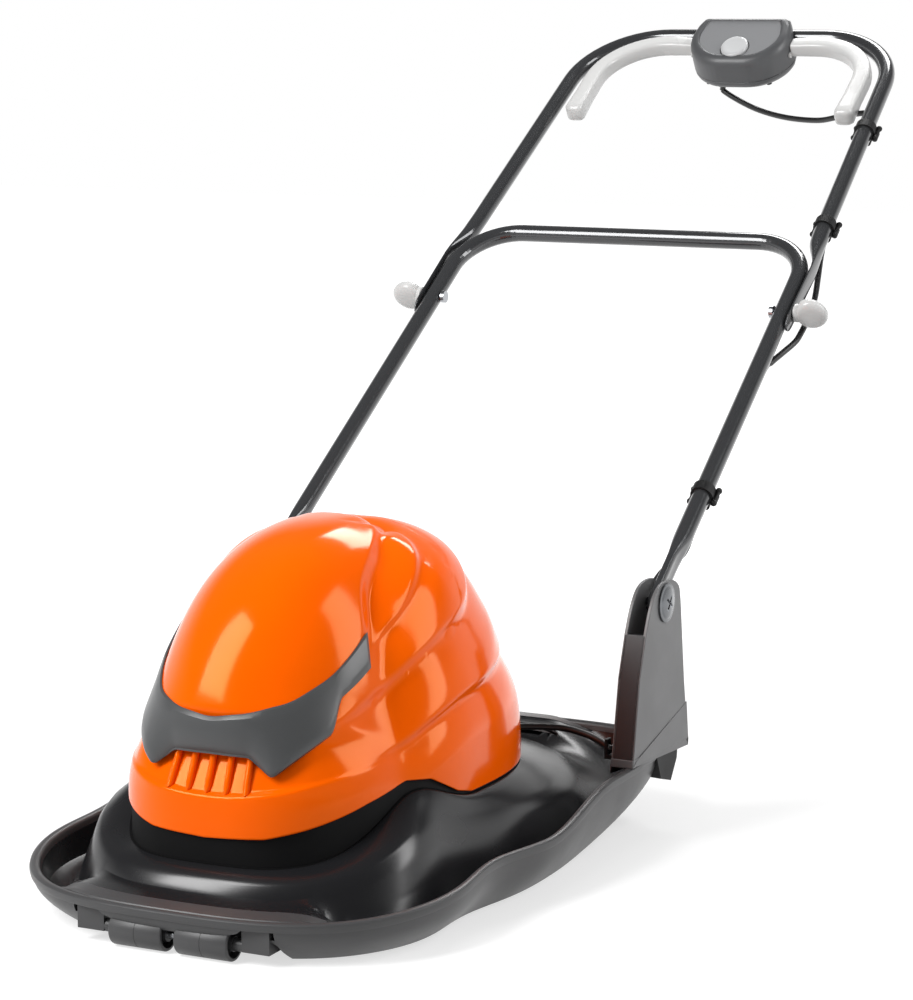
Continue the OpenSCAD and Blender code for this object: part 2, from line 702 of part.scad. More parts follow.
// Blade spindle and what turns with it
module at_spindle() in_frame() translate([0, spindle_y, 0]) children();
module spindle_bearings() {
    color(steel) at_spindle() for (z = [hub_low, plate_top + 18 - bearing_h]) {
        translate([0, 0, z]) ring(bearing_or - run_fit, spindle_r + run_fit, bearing_h - 0.1);
    }
}
bolt_r = 4;
module spindle() {
    color(steel) at_spindle() difference() {
        union() {
            translate([0, 0, blade_h + blade_t]) cylinder(r = spindle_r, h = plate_top + 19 - blade_h - blade_t);
            translate([0, 0, plate_top + 18.2]) cylinder(r = spindle_r + 2.5, h = 2);
        }
        translate([0, 0, blade_h]) cylinder(r = bolt_r, h = 30);
    }
}
module driven_pulley() color(charcoal) at_spindle() translate([0, 0, pulley_low]) pulley(big_pulley_r, spindle_r);
impeller_blades = 12;
module impeller() {
    color(pale_grey) at_spindle() translate([0, 0, impeller_low]) difference() {
        union() {
            cylinder(r = impeller_r, h = 2.5);
            cylinder(r = 26, h = impeller_hub_h);
            for (i = [0:impeller_blades - 1]) rotate([0, 0, 360 * i / impeller_blades])
                translate([24, 0, 0]) rotate([0, 0, 20]) box([0, impeller_r - 34], [-1.2, 1.2], [1, impeller_hub_h - 3]);
        }
        translate([0, 0, -1]) cylinder(r = spindle_r, h = impeller_hub_h + 2);
    }
}
spacer_r = 22;
module blade_spacers() {
    color(gloss_black) at_spindle() for (k = [0, 1]) {
        translate([0, 0, blade_h + blade_t + k * spacer_h / 2]) ring(spacer_r, spindle_r, spacer_h / 2);
    }
}
blade_w = 46;
module blade() {
    color(steel) at_spindle() translate([0, 0, blade_h]) difference() {
        intersection() {
            cylinder(r = blade_d / 2, h = blade_t);
            union() {
                box([-blade_d, blade_d], [-blade_w / 2, blade_w / 2], [0, blade_t]);
                cylinder(r = 34, h = blade_t);
            }
        }
        translate([0, 0, -1]) cylinder(r = bolt_r + run_fit, h = blade_t + 2);
    }
}
module blade_washer() color(steel) at_spindle() translate([0, 0, blade_h - 2]) ring(15, bolt_r + run_fit, 2);
module blade_bolt() {
    color(steel) at_spindle() {
        translate([0, 0, blade_h - 9]) cylinder(r = 8, h = 7, $fn = 6);
        translate([0, 0, blade_h - 3]) cylinder(r = bolt_r - run_fit, h = 30);
    }
}

// U-shaped tube: two legs from a start, a bar across the end, and a bend at each corner
module u_tube(start_s, start_x, end_s, end_x, bend) {
    tilt = atan((start_x - end_x) / (end_s - start_s));
    sweep = 90 - tilt;
    tangent = bend * tan(sweep / 2);
    leg = (end_s - start_s) / cos(tilt) - tangent;
    bar = end_x - tangent;
    both_sides() {
        translate([start_x, start_s, 0]) rotate([0, 0, tilt]) rotate([-90, 0, 0])
            ring(tube_r, tube_r - tube_wall, leg + bend_lap);
        translate([bar, end_s - bend, 0]) rotate([0, 0, tilt]) rotate_extrude(angle = sweep)
            translate([bend, 0]) bend_section();
    }
    translate([-bar - bend_lap, end_s, 0]) rotate([0, 90, 0])
        ring(tube_r, tube_r - tube_wall, 2 * (bar + bend_lap));
}
// The bends are a little thicker than the straights, which run into them
bend_lap = 1;
bend_swell = 0.15;
module bend_section() {
    difference() {
        circle(r = tube_r + bend_swell);
        circle(r = tube_r - tube_wall - bend_swell);
    }
}
// Flattened end of a lower tube
tongue_t = 10;
tongue_h = 22;
tongue_len = 70;
module tongue() {
    translate([pivot_x, 0, 0]) rotate([0, 0, lower_taper]) translate([0, -13, 0]) rotate([-90, 0, 0])
        linear_extrude(tongue_len + 13) union() {
            for (k = [-1, 1]) translate([0, k * (tongue_h - tongue_t) / 2]) circle(r = tongue_t / 2);
            square([tongue_t, tongue_h - tongue_t], center = true);
        }
}
clamp_r = 3;
module lower_tube() {
    x0 = lower_x(tongue_len - 8);
    color(graphite) lower_frame() difference() {
        union() {
            u_tube(tongue_len - 8, x0, cross_s, cross_x, cross_bend);
            both_sides() tongue();
        }
        along_x(-pivot_x - 20, pivot_x + 20, pivot_r + run_fit);
        translate([0, knob_s, 0]) along_x(-pivot_x - 20, pivot_x + 20, clamp_r + run_fit);
    }
}
module clamp_bolts() {
    color(steel) lower_frame() translate([0, knob_s, 0]) both_sides() {
        along_x(knob_x - tube_r - 5, knob_x - tube_r - 0.5, 7);
        along_x(knob_x - tube_r - 1, strap_x + strap_t + 24, clamp_r);
    }
}

// Upper handle
module upper_tube() {
    color(graphite) upper_frame() difference() {
        union() {
            u_tube(round_s, upper_x, bar_s, bar_x, bar_bend);
            both_sides() {
                box([strap_x, strap_x + strap_t], [-20, round_s + 24], [-9, 9]);
                rotate([0, 90, 0]) translate([0, -20, strap_x]) cylinder(r = 9, h = strap_t);
                box([upper_x - 2, strap_x + strap_t], [round_s, round_s + 24], [-8, 8]);
            }
        }
        along_x(-strap_x - 20, strap_x + 20, clamp_r + run_fit);
        both_sides() translate([upper_x, round_s - 1, 0]) rotate([0, 0, upper_taper]) rotate([-90, 0, 0])
            cylinder(r = tube_r - tube_wall - 0.5, h = 40);
    }
}

// Wing knobs on the clamp bolts
module knob() {
    x0 = strap_x + strap_t + seat_gap;
    difference() {
        union() {
            along_x(x0, x0 + 14, 10);
            translate([x0 + 20, 0, 0]) intersection() {
                rotate([90, 0, 0]) cylinder(r = 19, h = 12, center = true);
                box([-10, 20], [-6, 6], [-19, 19]);
            }
        }
        along_x(x0 - 1, x0 + 24.5, clamp_r + run_fit);
    }
}
module right_knob() color(pale_grey) lower_frame() translate([0, knob_s, 0]) knob();
module left_knob() color(pale_grey) lower_frame() translate([0, knob_s, 0]) mirror([1, 0, 0]) knob();

// Clips that hold the lead under the right-hand tubes
module clip(r_in) {
    lead_low = -(r_in + lead_r + seat_gap);
    rotate([90, 0, 0]) translate([0, 0, -6]) difference() {
        union() {
            cylinder(r = r_in + 2.5, h = 12);
            translate([0, lead_low, 0]) cylinder(r = lead_r + 2.5, h = 12);
            for (k = [-1, 1]) translate([k * (r_in + 1), lead_low + 4, 0]) cylinder(r = 3.5, h = 12);
        }
        translate([0, 0, -1]) cylinder(r = r_in + run_fit, h = 14);
        translate([0, lead_low, -1]) cylinder(r = lead_r + run_fit, h = 14);
    }
}
lower_clip_s = 166;
upper_clip_s = [160, 350];
upper_taper = atan((upper_x - bar_x) / (bar_s - round_s));
function lower_x(s) = pivot_x - s * tan(lower_taper);
function upper_leg_x(s) = upper_x - (s - round_s) * tan(upper_taper);
module lower_clip() {
    color(rubber_black) lower_frame() translate([lower_x(lower_clip_s), lower_clip_s, 0])
        rotate([0, 0, lower_taper]) clip(tube_r);
}
module upper_clips() {
    color(rubber_black) upper_frame() for (s = upper_clip_s)
        translate([upper_leg_x(s), s, 0]) rotate([0, 0, upper_taper]) clip(tube_r);
}

// Motor lead: from the cover to the bracket, under the lower tube, under the upper tube and
// in a loop to the switch box. Routes are in the layout, or along the handles.
lead_low = -(tube_r + lead_r + seat_gap);
beside_x = bracket_x1 - lead_r - 1.5;
beside_n = -13;
deck_route = [
    [94.2, 486.8, 112], [101.2, 495.8, 112], [113, 505.5, 112], [133, 514, 112], [154, 520, 111],
    [180, 520, 106], [beside_x - 10.5, 514, 101], [beside_x - 2.5, 510, 98], [beside_x, 518, 99], [beside_x, 526, 110], [beside_x, 532, 125], [beside_x, 541, 150],
    [beside_x, 551, 178], [beside_x, 561, 200], [beside_x, 571, 215], [beside_x, 583.8, 227.5]
];
lower_route = [
    [beside_x, 0.5, beside_n], [beside_x, 22, beside_n], [beside_x, 40, beside_n], [beside_x + 4, 60, beside_n], [lower_x(86), 86, lead_low],
    [lower_x(120), 120, lead_low], [lower_x(166), 166, lead_low], [lower_x(270), 270, lead_low],
    [lower_x(380), 380, lead_low], [lower_x(400) + 3, 400, lead_low - 3], [lower_x(420) + 9, 422, lead_low - 7],
    [strap_x + 6, 446, lead_low - 10], [strap_x + 8, knob_s - 1, lead_low - 10]
];
upper_route = [
    [strap_x + 8, 0, lead_low - 10], [strap_x + 8, 18, lead_low - 10], [strap_x + 7, 50, lead_low - 7],
    [strap_x + 1, 85, lead_low - 4], [upper_leg_x(120) + 3, 120, lead_low - 1.5], [upper_leg_x(146), 146, lead_low],
    [upper_leg_x(160), 160, lead_low], [upper_leg_x(260), 260, lead_low], [upper_leg_x(350), 350, lead_low],
    [upper_leg_x(390), 390, lead_low]
];
gland_s = bar_s - 50;
gland_x = -26;
gland_n = -box_below - 6;
loop_route = [
    [upper_leg_x(390), 390.5, lead_low], [bar_x, 403, lead_low - 1], [bar_x - 14, 411, lead_low - 5], [168, 415, lead_low - 11],
    [148, 419, lead_low - 18], [123, 428, lead_low - 29], [89, 442, lead_low - 38], [56, 456, lead_low - 43],
    [23, 471, lead_low - 44], [-6, 485, lead_low - 40], [gland_x, gland_s, gland_n - 9], [gland_x, gland_s, gland_n - 4],
    [gland_x, gland_s, gland_n - 0.1]
];
module deck_lead() color(rubber_black) in_frame() swept(smooth_route(deck_route, 1), lead_r, 8, [0, 0.2, 1]);
module lower_lead() color(rubber_black) lower_frame() swept(lower_route, lead_r, 8, [0, 0, 1]);
module upper_lead() color(rubber_black) upper_frame() swept(upper_route, lead_r, 8, [0, 0, 1]);
module lead_loop() color(rubber_black) upper_frame() swept(smooth_route(loop_route, 2), lead_r, 8, [0, 0.6, 0.8]);
module cable_grommet() {
    color(rubber_black) in_frame() translate([92, 484, 112]) rotate([0, 0, 52]) rotate([90, 0, 90]) difference() {
        translate([0, 0, 4]) cylinder(r = lead_r + 3.5, h = 8);
        translate([0, 0, -2]) cylinder(r = lead_r + 0.4, h = 18);
    }
}
module lead_hook() {
    color(rubber_black) at_pivot() translate([bracket_x1 - 12, -71, base_drop + flange_t]) difference() {
        union() {
            box([0, 12], [0, 10], [-4, 0]);
            box([0, 3], [0, 10], [-4, 16]);
        }
        translate([0, 5, 7.5]) along_x(-1, 4, lead_r + 1.5);
    }
}

// Switch box: a lid over the hand bar and a base that holds the bar from below
box_seam = -18;
nose_r = 36;
rear_half_w = 56;
module box_outline(grow) {
    w = box_half_w + grow;
    nose_mid = -box_nose + nose_r;
    polygon(concat(
        [[-rear_half_w - grow, box_back + grow], [rear_half_w + grow, box_back + grow], [w - 3, -4]],
        [for (a = [0:-7.5:-90]) [w - nose_r - grow, nose_mid] + (nose_r + grow) * [cos(a), sin(a)]],
        [for (a = [-90:-7.5:-180]) [nose_r + grow - w, nose_mid] + (nose_r + grow) * [cos(a), sin(a)]],
        [[3 - w, -4]]
    ));
}
module at_bar() upper_frame() translate([0, bar_s, 0]) children();
lever_pivot_s = -36;
lever_pivot_n = -6;
lever_stub_r = 5;
button_s = -47;
button_r = 17.5;
button_travel = 4;
saddle = tube_r + 3;
inlet_low = tube_r + 1.2;
box_screw_at = [[-46, -28], [46, -28], [-40, -56], [40, -56]];
module bar_bore() along_x(-box_half_w - 5, box_half_w + 5, tube_r + run_fit);
module inlet_bore() rotate([-90, 0, 0]) translate([0, 0, inlet_low - 1]) cylinder(r = inlet_r + inlet_wall + run_fit, h = 30);
module switch_box_base() {
    color(charcoal) at_bar() difference() {
        union() {
            difference() {
                translate([0, 0, -box_below]) linear_extrude(box_seam + box_below) box_outline(0);
                translate([0, 0, box_wall - box_below]) linear_extrude(box_below) box_outline(-box_wall);
            }
            box([-rear_half_w + 6, rear_half_w - 6], [-saddle + 0.2, saddle - box_wall - 0.4], [-box_below + 1, 0]);
        }
        bar_bore();
        inlet_bore();
        translate([gland_x, gland_s - bar_s, -box_below - 1]) cylinder(r = lead_r + 3, h = box_wall + 2);
        for (p = box_screw_at) translate([p[0], p[1], -box_below - 1]) cylinder(r = screw_r + run_fit, h = box_wall + 2);
    }
}
module switch_box_lid() {
    color(charcoal) at_bar() difference() {
        union() {
            difference() {
                translate([0, 0, box_seam + 0.2]) linear_extrude(box_above - box_seam - 0.2) box_outline(0);
                translate([0, 0, box_seam - 1]) linear_extrude(box_above - box_wall - box_seam + 1) box_outline(-box_wall);
            }
            for (p = box_screw_at) translate([p[0], p[1], box_wall - box_below]) cylinder(r = 5, h = box_above + box_below - 5);
            for (k = [-1, 1]) box([k * 59 - 4, k * 59 + 4], [-saddle, saddle - 1], [0, box_above - 1]);
        }
        bar_bore();
        inlet_bore();
        box([-100, 100], [-tube_r - run_fit, tube_r + run_fit], [box_seam - 1, 0]);
        translate([-100, 0, 0]) rotate([90, 0, 90]) linear_extrude(200)
            polygon([[2, box_above + 2], [30, box_above + 2], [30, 0], [box_back, 8], [2, box_above]]);
        translate([0, lever_pivot_s, lever_pivot_n]) both_sides() along_x(box_half_w - 8, box_half_w + 5, lever_stub_r + run_fit);
        translate([0, button_s, 0]) cylinder(r = button_r + seat_gap, h = box_above + 1);
    }
}
switch_top = -10;
module lock_button() {
    color(pale_grey) at_bar() translate([0, button_s, 0]) union() {
        translate([0, 0, box_above - box_wall - 4]) cylinder(r = button_r, h = box_wall + 8);
        translate([0, 0, box_above - box_wall - 5]) cylinder(r = button_r + 2.5, h = 4.7);
        translate([0, 0, switch_top + button_travel + 1]) cylinder(r = 3, h = box_above - box_wall - 9 - switch_top);
    }
}
spring_turns = 4;
spring_r = 5.2;
spring_wire = 0.6;
spring_low = switch_top + spring_wire + seat_gap;
spring_high = box_above - box_wall - 5 - spring_wire - seat_gap;
spring_steps = spring_turns * 8;
spring_route = [
    for (i = [0:spring_steps])
        [spring_r * cos(45 * i), spring_r * sin(45 * i), spring_low + (spring_high - spring_low) * i / spring_steps]
];
module button_spring() {
    color(steel) at_bar() translate([0, button_s, 0]) swept(spring_route, spring_wire, 6, [0, 0, 1]);
}
module micro_switch() {
    color(gloss_black) at_bar() box([-17, 17], [button_s - 9, button_s + 9], [box_wall - box_below, switch_top]);
}
module box_screws() {
    color(steel) at_bar() for (p = box_screw_at) translate([p[0], p[1], -box_below]) {
        translate([0, 0, -2]) cylinder(r = 3.6, h = 2);
        translate([0, 0, -1]) cylinder(r = screw_r, h = 20);
    }
}
// Mains inlet behind the box, with a bore for the lead
module mains_inlet() {
    color(rubber_black) at_bar() difference() {
        union() {
            rotate([-90, 0, 0]) translate([0, 0, inlet_low]) cylinder(r = inlet_r + inlet_wall, h = box_back + inlet_len - inlet_low);
            box([-19, 19], [box_back + seat_gap, box_back + 7], [-8, 8]);
        }
        rotate([-90, 0, 0]) translate([0, 0, inlet_low - 1]) cylinder(r = inlet_r, h = 40);
    }
}
module lead_gland() {
    color(rubber_black) at_bar() translate([gland_x, gland_s - bar_s, gland_n]) difference() {
        union() {
            cylinder(r1 = lead_r + 1.6, r2 = lead_r + 5, h = 6);
            translate([0, 0, 5]) cylinder(r = lead_r + 2.9, h = box_wall + 2);
        }
        translate([0, 0, 0.2]) cylinder(r = lead_r, h = 20);
    }
}

// Levers: a pivot stub at the box, a bar beside the hand bar and an arm down the side
lever_low = -9;
lever_high = 9;
lever_side = lever_gap + 8;
module lever() {
    in_bend = bar_bend - 30;
    corner_x = bar_x - lever_side;
    turn_x = corner_x - in_bend;
    turn_s = -lever_gap - in_bend;
    inner_x = box_half_w + seat_gap;
    hub_x = box_half_w + 12;
    straight_w = lever_w - 2 * bend_swell;
    translate([0, lever_pivot_s, lever_pivot_n]) {
        along_x(box_half_w - box_wall, hub_x - 4, lever_stub_r);
        along_x(inner_x + 0.5, hub_x - 1, 8);
    }
    box([inner_x, hub_x], [lever_pivot_s - 4, -lever_gap + lever_w / 2 + 0.5], [lever_low - 0.5, lever_high + 0.5]);
    translate([0, 0, lever_low]) linear_extrude(lever_high - lever_low) union() {
        translate([hub_x - 2, -lever_gap - straight_w / 2]) square([turn_x - hub_x + 2 + bend_lap, straight_w]);
        intersection() {
            difference() {
                translate([turn_x, turn_s]) circle(r = in_bend + lever_w / 2);
                translate([turn_x, turn_s]) circle(r = in_bend - lever_w / 2);
            }
            translate([turn_x, turn_s]) square(200);
        }
        translate([corner_x - straight_w / 2, turn_s - lever_arm]) square([straight_w, lever_arm + bend_lap]);
        translate([corner_x, turn_s - lever_arm]) circle(r = lever_w / 2);
    }
}
module right_lever() color(pale_grey) at_bar() lever();
module left_lever() color(pale_grey) at_bar() mirror([1, 0, 0]) lever();

hood();
axle_blocks();
front_axle();
left_bracket();
right_bracket();
bracket_screws();
bracket_heels();
cover();
visor();
vent_fins();
cover_screws();
cable_grommet();
lead_hook();
motor_plate();
plate_screws();
motor_can();
motor_end_cap();
brushes();
motor_bearings();
spindle_bearings();
drive_belt();
terminal_block();
deck_lead();
pivot_bolts();
pivot_nuts();
motor_shaft();
armature();
cooling_fan();
motor_pulley();
spindle();
driven_pulley();
impeller();
blade_spacers();
blade();
blade_washer();
blade_bolt();
lower_tube();
clamp_bolts();
lower_clip();
lower_lead();
upper_tube();
upper_clips();
upper_lead();
lead_loop();
switch_box_base();
switch_box_lid();
box_screws();
micro_switch();
mains_inlet();
lead_gland();
button_spring();
left_lever();
right_lever();
lock_button();
left_knob();
right_knob();
left_roller();
right_roller();
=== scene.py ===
import math

import bmesh
import bpy
import numpy as np
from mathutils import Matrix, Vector


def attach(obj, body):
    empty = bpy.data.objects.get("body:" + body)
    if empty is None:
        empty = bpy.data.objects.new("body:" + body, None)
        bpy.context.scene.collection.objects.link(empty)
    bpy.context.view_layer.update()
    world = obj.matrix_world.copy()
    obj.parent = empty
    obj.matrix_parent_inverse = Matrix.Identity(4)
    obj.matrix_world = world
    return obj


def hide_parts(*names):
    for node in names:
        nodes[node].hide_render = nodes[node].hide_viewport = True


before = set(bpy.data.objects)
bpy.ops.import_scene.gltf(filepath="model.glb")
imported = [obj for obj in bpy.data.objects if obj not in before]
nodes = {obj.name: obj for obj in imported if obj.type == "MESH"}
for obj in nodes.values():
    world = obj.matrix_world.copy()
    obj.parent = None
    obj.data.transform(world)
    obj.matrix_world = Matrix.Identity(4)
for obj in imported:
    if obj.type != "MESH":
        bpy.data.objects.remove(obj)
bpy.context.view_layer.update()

# Sizes in millimetres, laid out from the front face of the axle blocks as in the part's source
MM = 0.001
Y_MID = 716.785
PIVOT_X, PIVOT_Y, PIVOT_Z = 225.5, 577.0, 238.6
LOWER_ANGLE, UPPER_ANGLE = math.radians(33.8), math.radians(33.2)
KNOB_S, CROSS_S, CROSS_X, CROSS_BEND = 467.0, 592.0, 215.0, 68.0
KNOB_Y = PIVOT_Y + KNOB_S * math.cos(LOWER_ANGLE)
KNOB_Z = PIVOT_Z + KNOB_S * math.sin(LOWER_ANGLE)
TAPER = (PIVOT_X - CROSS_X) / CROSS_S
KNOB_X = PIVOT_X - KNOB_S * TAPER
STRAP_X, STRAP_T = KNOB_X + 11.0, 3.0
ROUND_S, UPPER_X, BAR_X, BAR_S, BAR_BEND = 118.0, 219.5, 204.0, 544.0, 105.0
TUBE_R, LEAD_R = 10.0, 3.5
COVER_Y, COVER_Z, COVER_WALL = 300.0, 86.0, 3.0
HOOD_W, HOOD_LEN, OVERHANG = 476.0, 684.0, 12.0
RIM_FRONT, RIM_MID, RIM_REAR, STEP_H = 42.0, 58.0, 84.0, 62.0
ARCH_TOP, HOOD_WALL, LEDGE_Z, GULLY_Z = 33.2, 3.5, 88.0, 16.0
BRACKET_IN, BRACKET_OUT, BRACKET_WALL = 213.5, 237.5, 3.5
BASE_DROP = RIM_REAR - PIVOT_Z


# Points and curves
def smooth(a, b, t):
    u = np.clip((np.asarray(t, float) - a) / (b - a), 0, 1)
    return u * u * (3 - 2 * u)


def lookup(t, table):
    return np.interp(t, [row[0] for row in table], [row[1] for row in table])


def eased(t, table, width):
    """Table value with its corners rounded over a width either side."""
    steps = np.linspace(-width, width, 9)
    return np.mean([lookup(np.abs(np.asarray(t, float) + k), table) for k in steps], axis=0)


def flat_places(points):
    return np.asarray(points, float)


def lower_places(points):
    p = np.asarray(points, float)
    c, s = math.cos(LOWER_ANGLE), math.sin(LOWER_ANGLE)
    return np.stack([p[:, 0], PIVOT_Y + p[:, 1] * c - p[:, 2] * s, PIVOT_Z + p[:, 1] * s + p[:, 2] * c], 1)


def upper_places(points):
    p = np.asarray(points, float)
    c, s = math.cos(UPPER_ANGLE), math.sin(UPPER_ANGLE)
    return np.stack([p[:, 0], KNOB_Y + p[:, 1] * c - p[:, 2] * s, KNOB_Z + p[:, 1] * s + p[:, 2] * c], 1)


def bar_places(points):
    return upper_places(np.asarray(points, float) + np.array([0, BAR_S, 0]))


def pivot_places(points):
    return np.asarray(points, float) + np.array([0, PIVOT_Y, PIVOT_Z])


def spline(points, steps):
    """Smooth curve through points, with a number of steps between them."""
    p = np.asarray(points, float)
    p = np.concatenate([[2 * p[0] - p[1]], p, [2 * p[-1] - p[-2]]])
    out = []
    for i in range(1, len(p) - 2):
        a, b, c, d = p[i - 1:i + 3]
        for t in np.linspace(0, 1, steps, endpoint=False):
            out.append(0.5 * (2 * b + (c - a) * t + (2 * a - 5 * b + 4 * c - d) * t**2
                              + (3 * b - a - 3 * c + d) * t**3))
    return np.array(out + [p[-2]])


# Meshes
def strip_faces(rows, count, wrap=True, close=False):
    """Faces of a sheet of rows of count points; wrap closes each row, close joins last row to first."""
    faces = []
    for r in range(rows if close else rows - 1):
        a, b = r * count, (r + 1) % rows * count
        for i in range(count if wrap else count - 1):
            j = (i + 1) % count
            faces.append((a + i, a + j, b + j, b + i))
    return faces


def piece(name, verts, faces, finish, body, replaces=(), sharp=38, bevel=0.0, place=flat_places):
    """One mesh in layout millimetres, placed in the frame, riding on a body."""
    co = (place(verts) - np.array([0, Y_MID, 0])) * MM
    mesh = bpy.data.meshes.new(name)
    mesh.from_pydata([tuple(v) for v in co], [], [tuple(f) for f in faces])
    bm = bmesh.new()
    bm.from_mesh(mesh)
    bmesh.ops.remove_doubles(bm, verts=bm.verts, dist=2e-6)
    bmesh.ops.recalc_face_normals(bm, faces=bm.faces)
    limit = math.radians(sharp)
    for edge in bm.edges:
        edge.smooth = len(edge.link_faces) == 2 and edge.calc_face_angle(0) < limit
    for face in bm.faces:
        face.smooth = True
    bm.to_mesh(mesh)
    bm.free()
    obj = bpy.data.objects.new(name, mesh)
    bpy.context.scene.collection.objects.link(obj)
    mesh.materials.append(finish)
    if bevel:
        soften(obj, bevel)
    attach(obj, body)
    if replaces:
        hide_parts(*replaces)
    return obj


def soften(obj, width):
    """Rounds an object's sharp edges by a width in millimetres."""
    rounding = obj.modifiers.new("rounded_edges", "BEVEL")
    rounding.width = width * MM
    rounding.segments = 3
    rounding.limit_method = "ANGLE"
    rounding.angle_limit = math.radians(38)
    rounding.harden_normals = True


class Build:
    """Collects verts and faces of several forms into one mesh."""

    def __init__(self):
        self.verts, self.faces = [], []

    def put(self, verts, faces):
        start = len(self.verts)
        self.verts += [tuple(v) for v in verts]
        self.faces += [tuple(start + i for i in face) for face in faces]

    def rings(self, rings, cap=True):
        count = len(rings[0])
        faces = strip_faces(len(rings), count)
        if cap:
            last = (len(rings) - 1) * count
            faces += [tuple(range(count))[::-1], tuple(last + i for i in range(count))]
        self.put(np.concatenate(rings), faces)

    def prism(self, outline, x0, x1):
        """Outline in Y and Z, drawn out along X."""
        o = np.asarray(outline, float)
        rings = [np.column_stack([np.full(len(o), x), o]) for x in (x0, x1)]
        self.rings(rings)

    def box(self, x, y, z):
        self.prism([(y[0], z[0]), (y[1], z[0]), (y[1], z[1]), (y[0], z[1])], x[0], x[1])

    def lathe(self, centre, profile, axis="x", sides=48, cap=True):
        """Profile of (along, radius) pairs turned about an axis through centre."""
        a = np.linspace(0, 2 * math.pi, sides, endpoint=False)
        turned = {"x": (1, 2, 0), "y": (2, 0, 1), "z": (0, 1, 2)}[axis]
        rings = []
        for along, radius in profile:
            ring = np.zeros((sides, 3))
            ring[:, turned[0]] = radius * np.cos(a)
            ring[:, turned[1]] = radius * np.sin(a)
            ring[:, turned[2]] = along
            rings.append(ring + np.asarray(centre, float))
        self.rings(rings, cap)

    def sweep(self, path, section, up=(0, 0, 1), cap=True):
        """Section, a list of (side, up) pairs or a function of the step, carried along a path."""
        p = np.asarray(path, float)
        t = np.gradient(p, axis=0)
        t /= np.linalg.norm(t, axis=1)[:, None]
        side = np.cross(t, np.asarray(up, float))
        side /= np.linalg.norm(side, axis=1)[:, None]
        top = np.cross(side, t)
        rings = []
        for i in range(len(p)):
            s = np.asarray(section(i) if callable(section) else section, float)
            rings.append(p[i] + s[:, :1] * side[i] + s[:, 1:] * top[i])
        self.rings(rings, cap)

    def mirrored(self):
        other = Build()
        other.put([(-v[0], v[1], v[2]) for v in self.verts], self.faces)
        return other

    def with_mirror(self):
        other = self.mirrored()
        self.put(other.verts, other.faces)
        return self


def circle(r, sides=20):
    a = np.linspace(0, 2 * math.pi, sides, endpoint=False)
    return np.column_stack([r * np.cos(a), r * np.sin(a)])


def oval(half_w, half_h, power=2.0, sides=28):
    """Rounded section: power 2 is an ellipse, and a higher power is squarer."""
    a = np.linspace(0, 2 * math.pi, sides, endpoint=False)
    c, s = np.cos(a), np.sin(a)
    return np.column_stack([half_w * np.sign(c) * np.abs(c)**(2 / power),
                            half_h * np.sign(s) * np.abs(s)**(2 / power)])


# Finishes
def linear(hex_colour):
    """sRGB hex value as linear red, green, blue, alpha."""
    parts = [int(hex_colour[i:i + 2], 16) / 255 for i in (1, 3, 5)]
    return [c / 12.92 if c <= 0.04045 else ((c + 0.055) / 1.055)**2.4 for c in parts] + [1.0]


def add(tree, kind, inputs=None, **settings):
    """Adds a node; an input is a value or another node's output socket."""
    node = tree.nodes.new(kind)
    for key, value in settings.items():
        setattr(node, key, value)
    for key, value in (inputs or {}).items():
        if isinstance(value, bpy.types.NodeSocket):
            tree.links.new(value, node.inputs[key])
        else:
            node.inputs[key].default_value = value
    return node


def new_finish(name):
    mat = bpy.data.materials.new(name)
    mat.use_nodes = True
    tree = mat.node_tree
    shader = tree.nodes["Principled BSDF"]
    where = add(tree, "ShaderNodeTexCoord").outputs["Object"]
    return mat, tree, shader, where


def surface(name, colour, second, rough, rough_spread, grain_mm, grain_depth_mm, cloud_mm=70.0, **sockets):
    """Moulded or painted surface: a clouded colour, a clouded gloss and a fine grain as bump."""
    mat, tree, shader, where = new_finish(name)
    cloud = add(tree, "ShaderNodeTexNoise", {"Vector": where, "Scale": 1000 / cloud_mm, "Detail": 4.0})
    mix = add(tree, "ShaderNodeMix", {"Factor": cloud.outputs["Fac"]}, data_type="RGBA")
    mix.inputs[6].default_value = linear(colour)
    mix.inputs[7].default_value = linear(second)
    tree.links.new(mix.outputs[2], shader.inputs["Base Color"])
    gloss = add(tree, "ShaderNodeMapRange", {
        "Value": cloud.outputs["Fac"], "From Min": 0.3, "From Max": 0.7,
        "To Min": rough - rough_spread, "To Max": rough + rough_spread})
    tree.links.new(gloss.outputs["Result"], shader.inputs["Roughness"])
    grain = add(tree, "ShaderNodeTexNoise", {"Vector": where, "Scale": 1000 / grain_mm, "Detail": 3.0})
    bump = add(tree, "ShaderNodeBump", {
        "Height": grain.outputs["Fac"], "Strength": 0.6, "Distance": grain_depth_mm * MM})
    tree.links.new(bump.outputs["Normal"], shader.inputs["Normal"])
    for key, value in sockets.items():
        shader.inputs[key.replace("_", " ")].default_value = value
    return mat


# Moulded ABS, polished tool: deep orange with sharp reflections and a faint long ripple
orange_abs = surface("abs_polished_orange", "#FF6400", "#F85C00", 0.12, 0.02, 26.0, 0.03,
                     Specular_IOR_Level=0.34, Specular_Tint=linear("#FFC478"))
# Moulded polypropylene, spark-eroded tool: charcoal with a soft broad sheen and a fine grain
charcoal_pp = surface("polypropylene_grained_charcoal", "#434344", "#3D3D3E", 0.4, 0.05, 1.6, 0.05)
# The same moulding in the brackets, made lighter as painted light that the brackets catch
charcoal_pp_painted_light = surface("polypropylene_grained_grey_painted_light", "#646465", "#5C5C5D", 0.4, 0.05, 1.6, 0.05)
# The same moulding where its tool is polished: near black with clear reflections
black_pp = surface("polypropylene_polished_black", "#1E1E20", "#18181A", 0.25, 0.04, 30.0, 0.05)
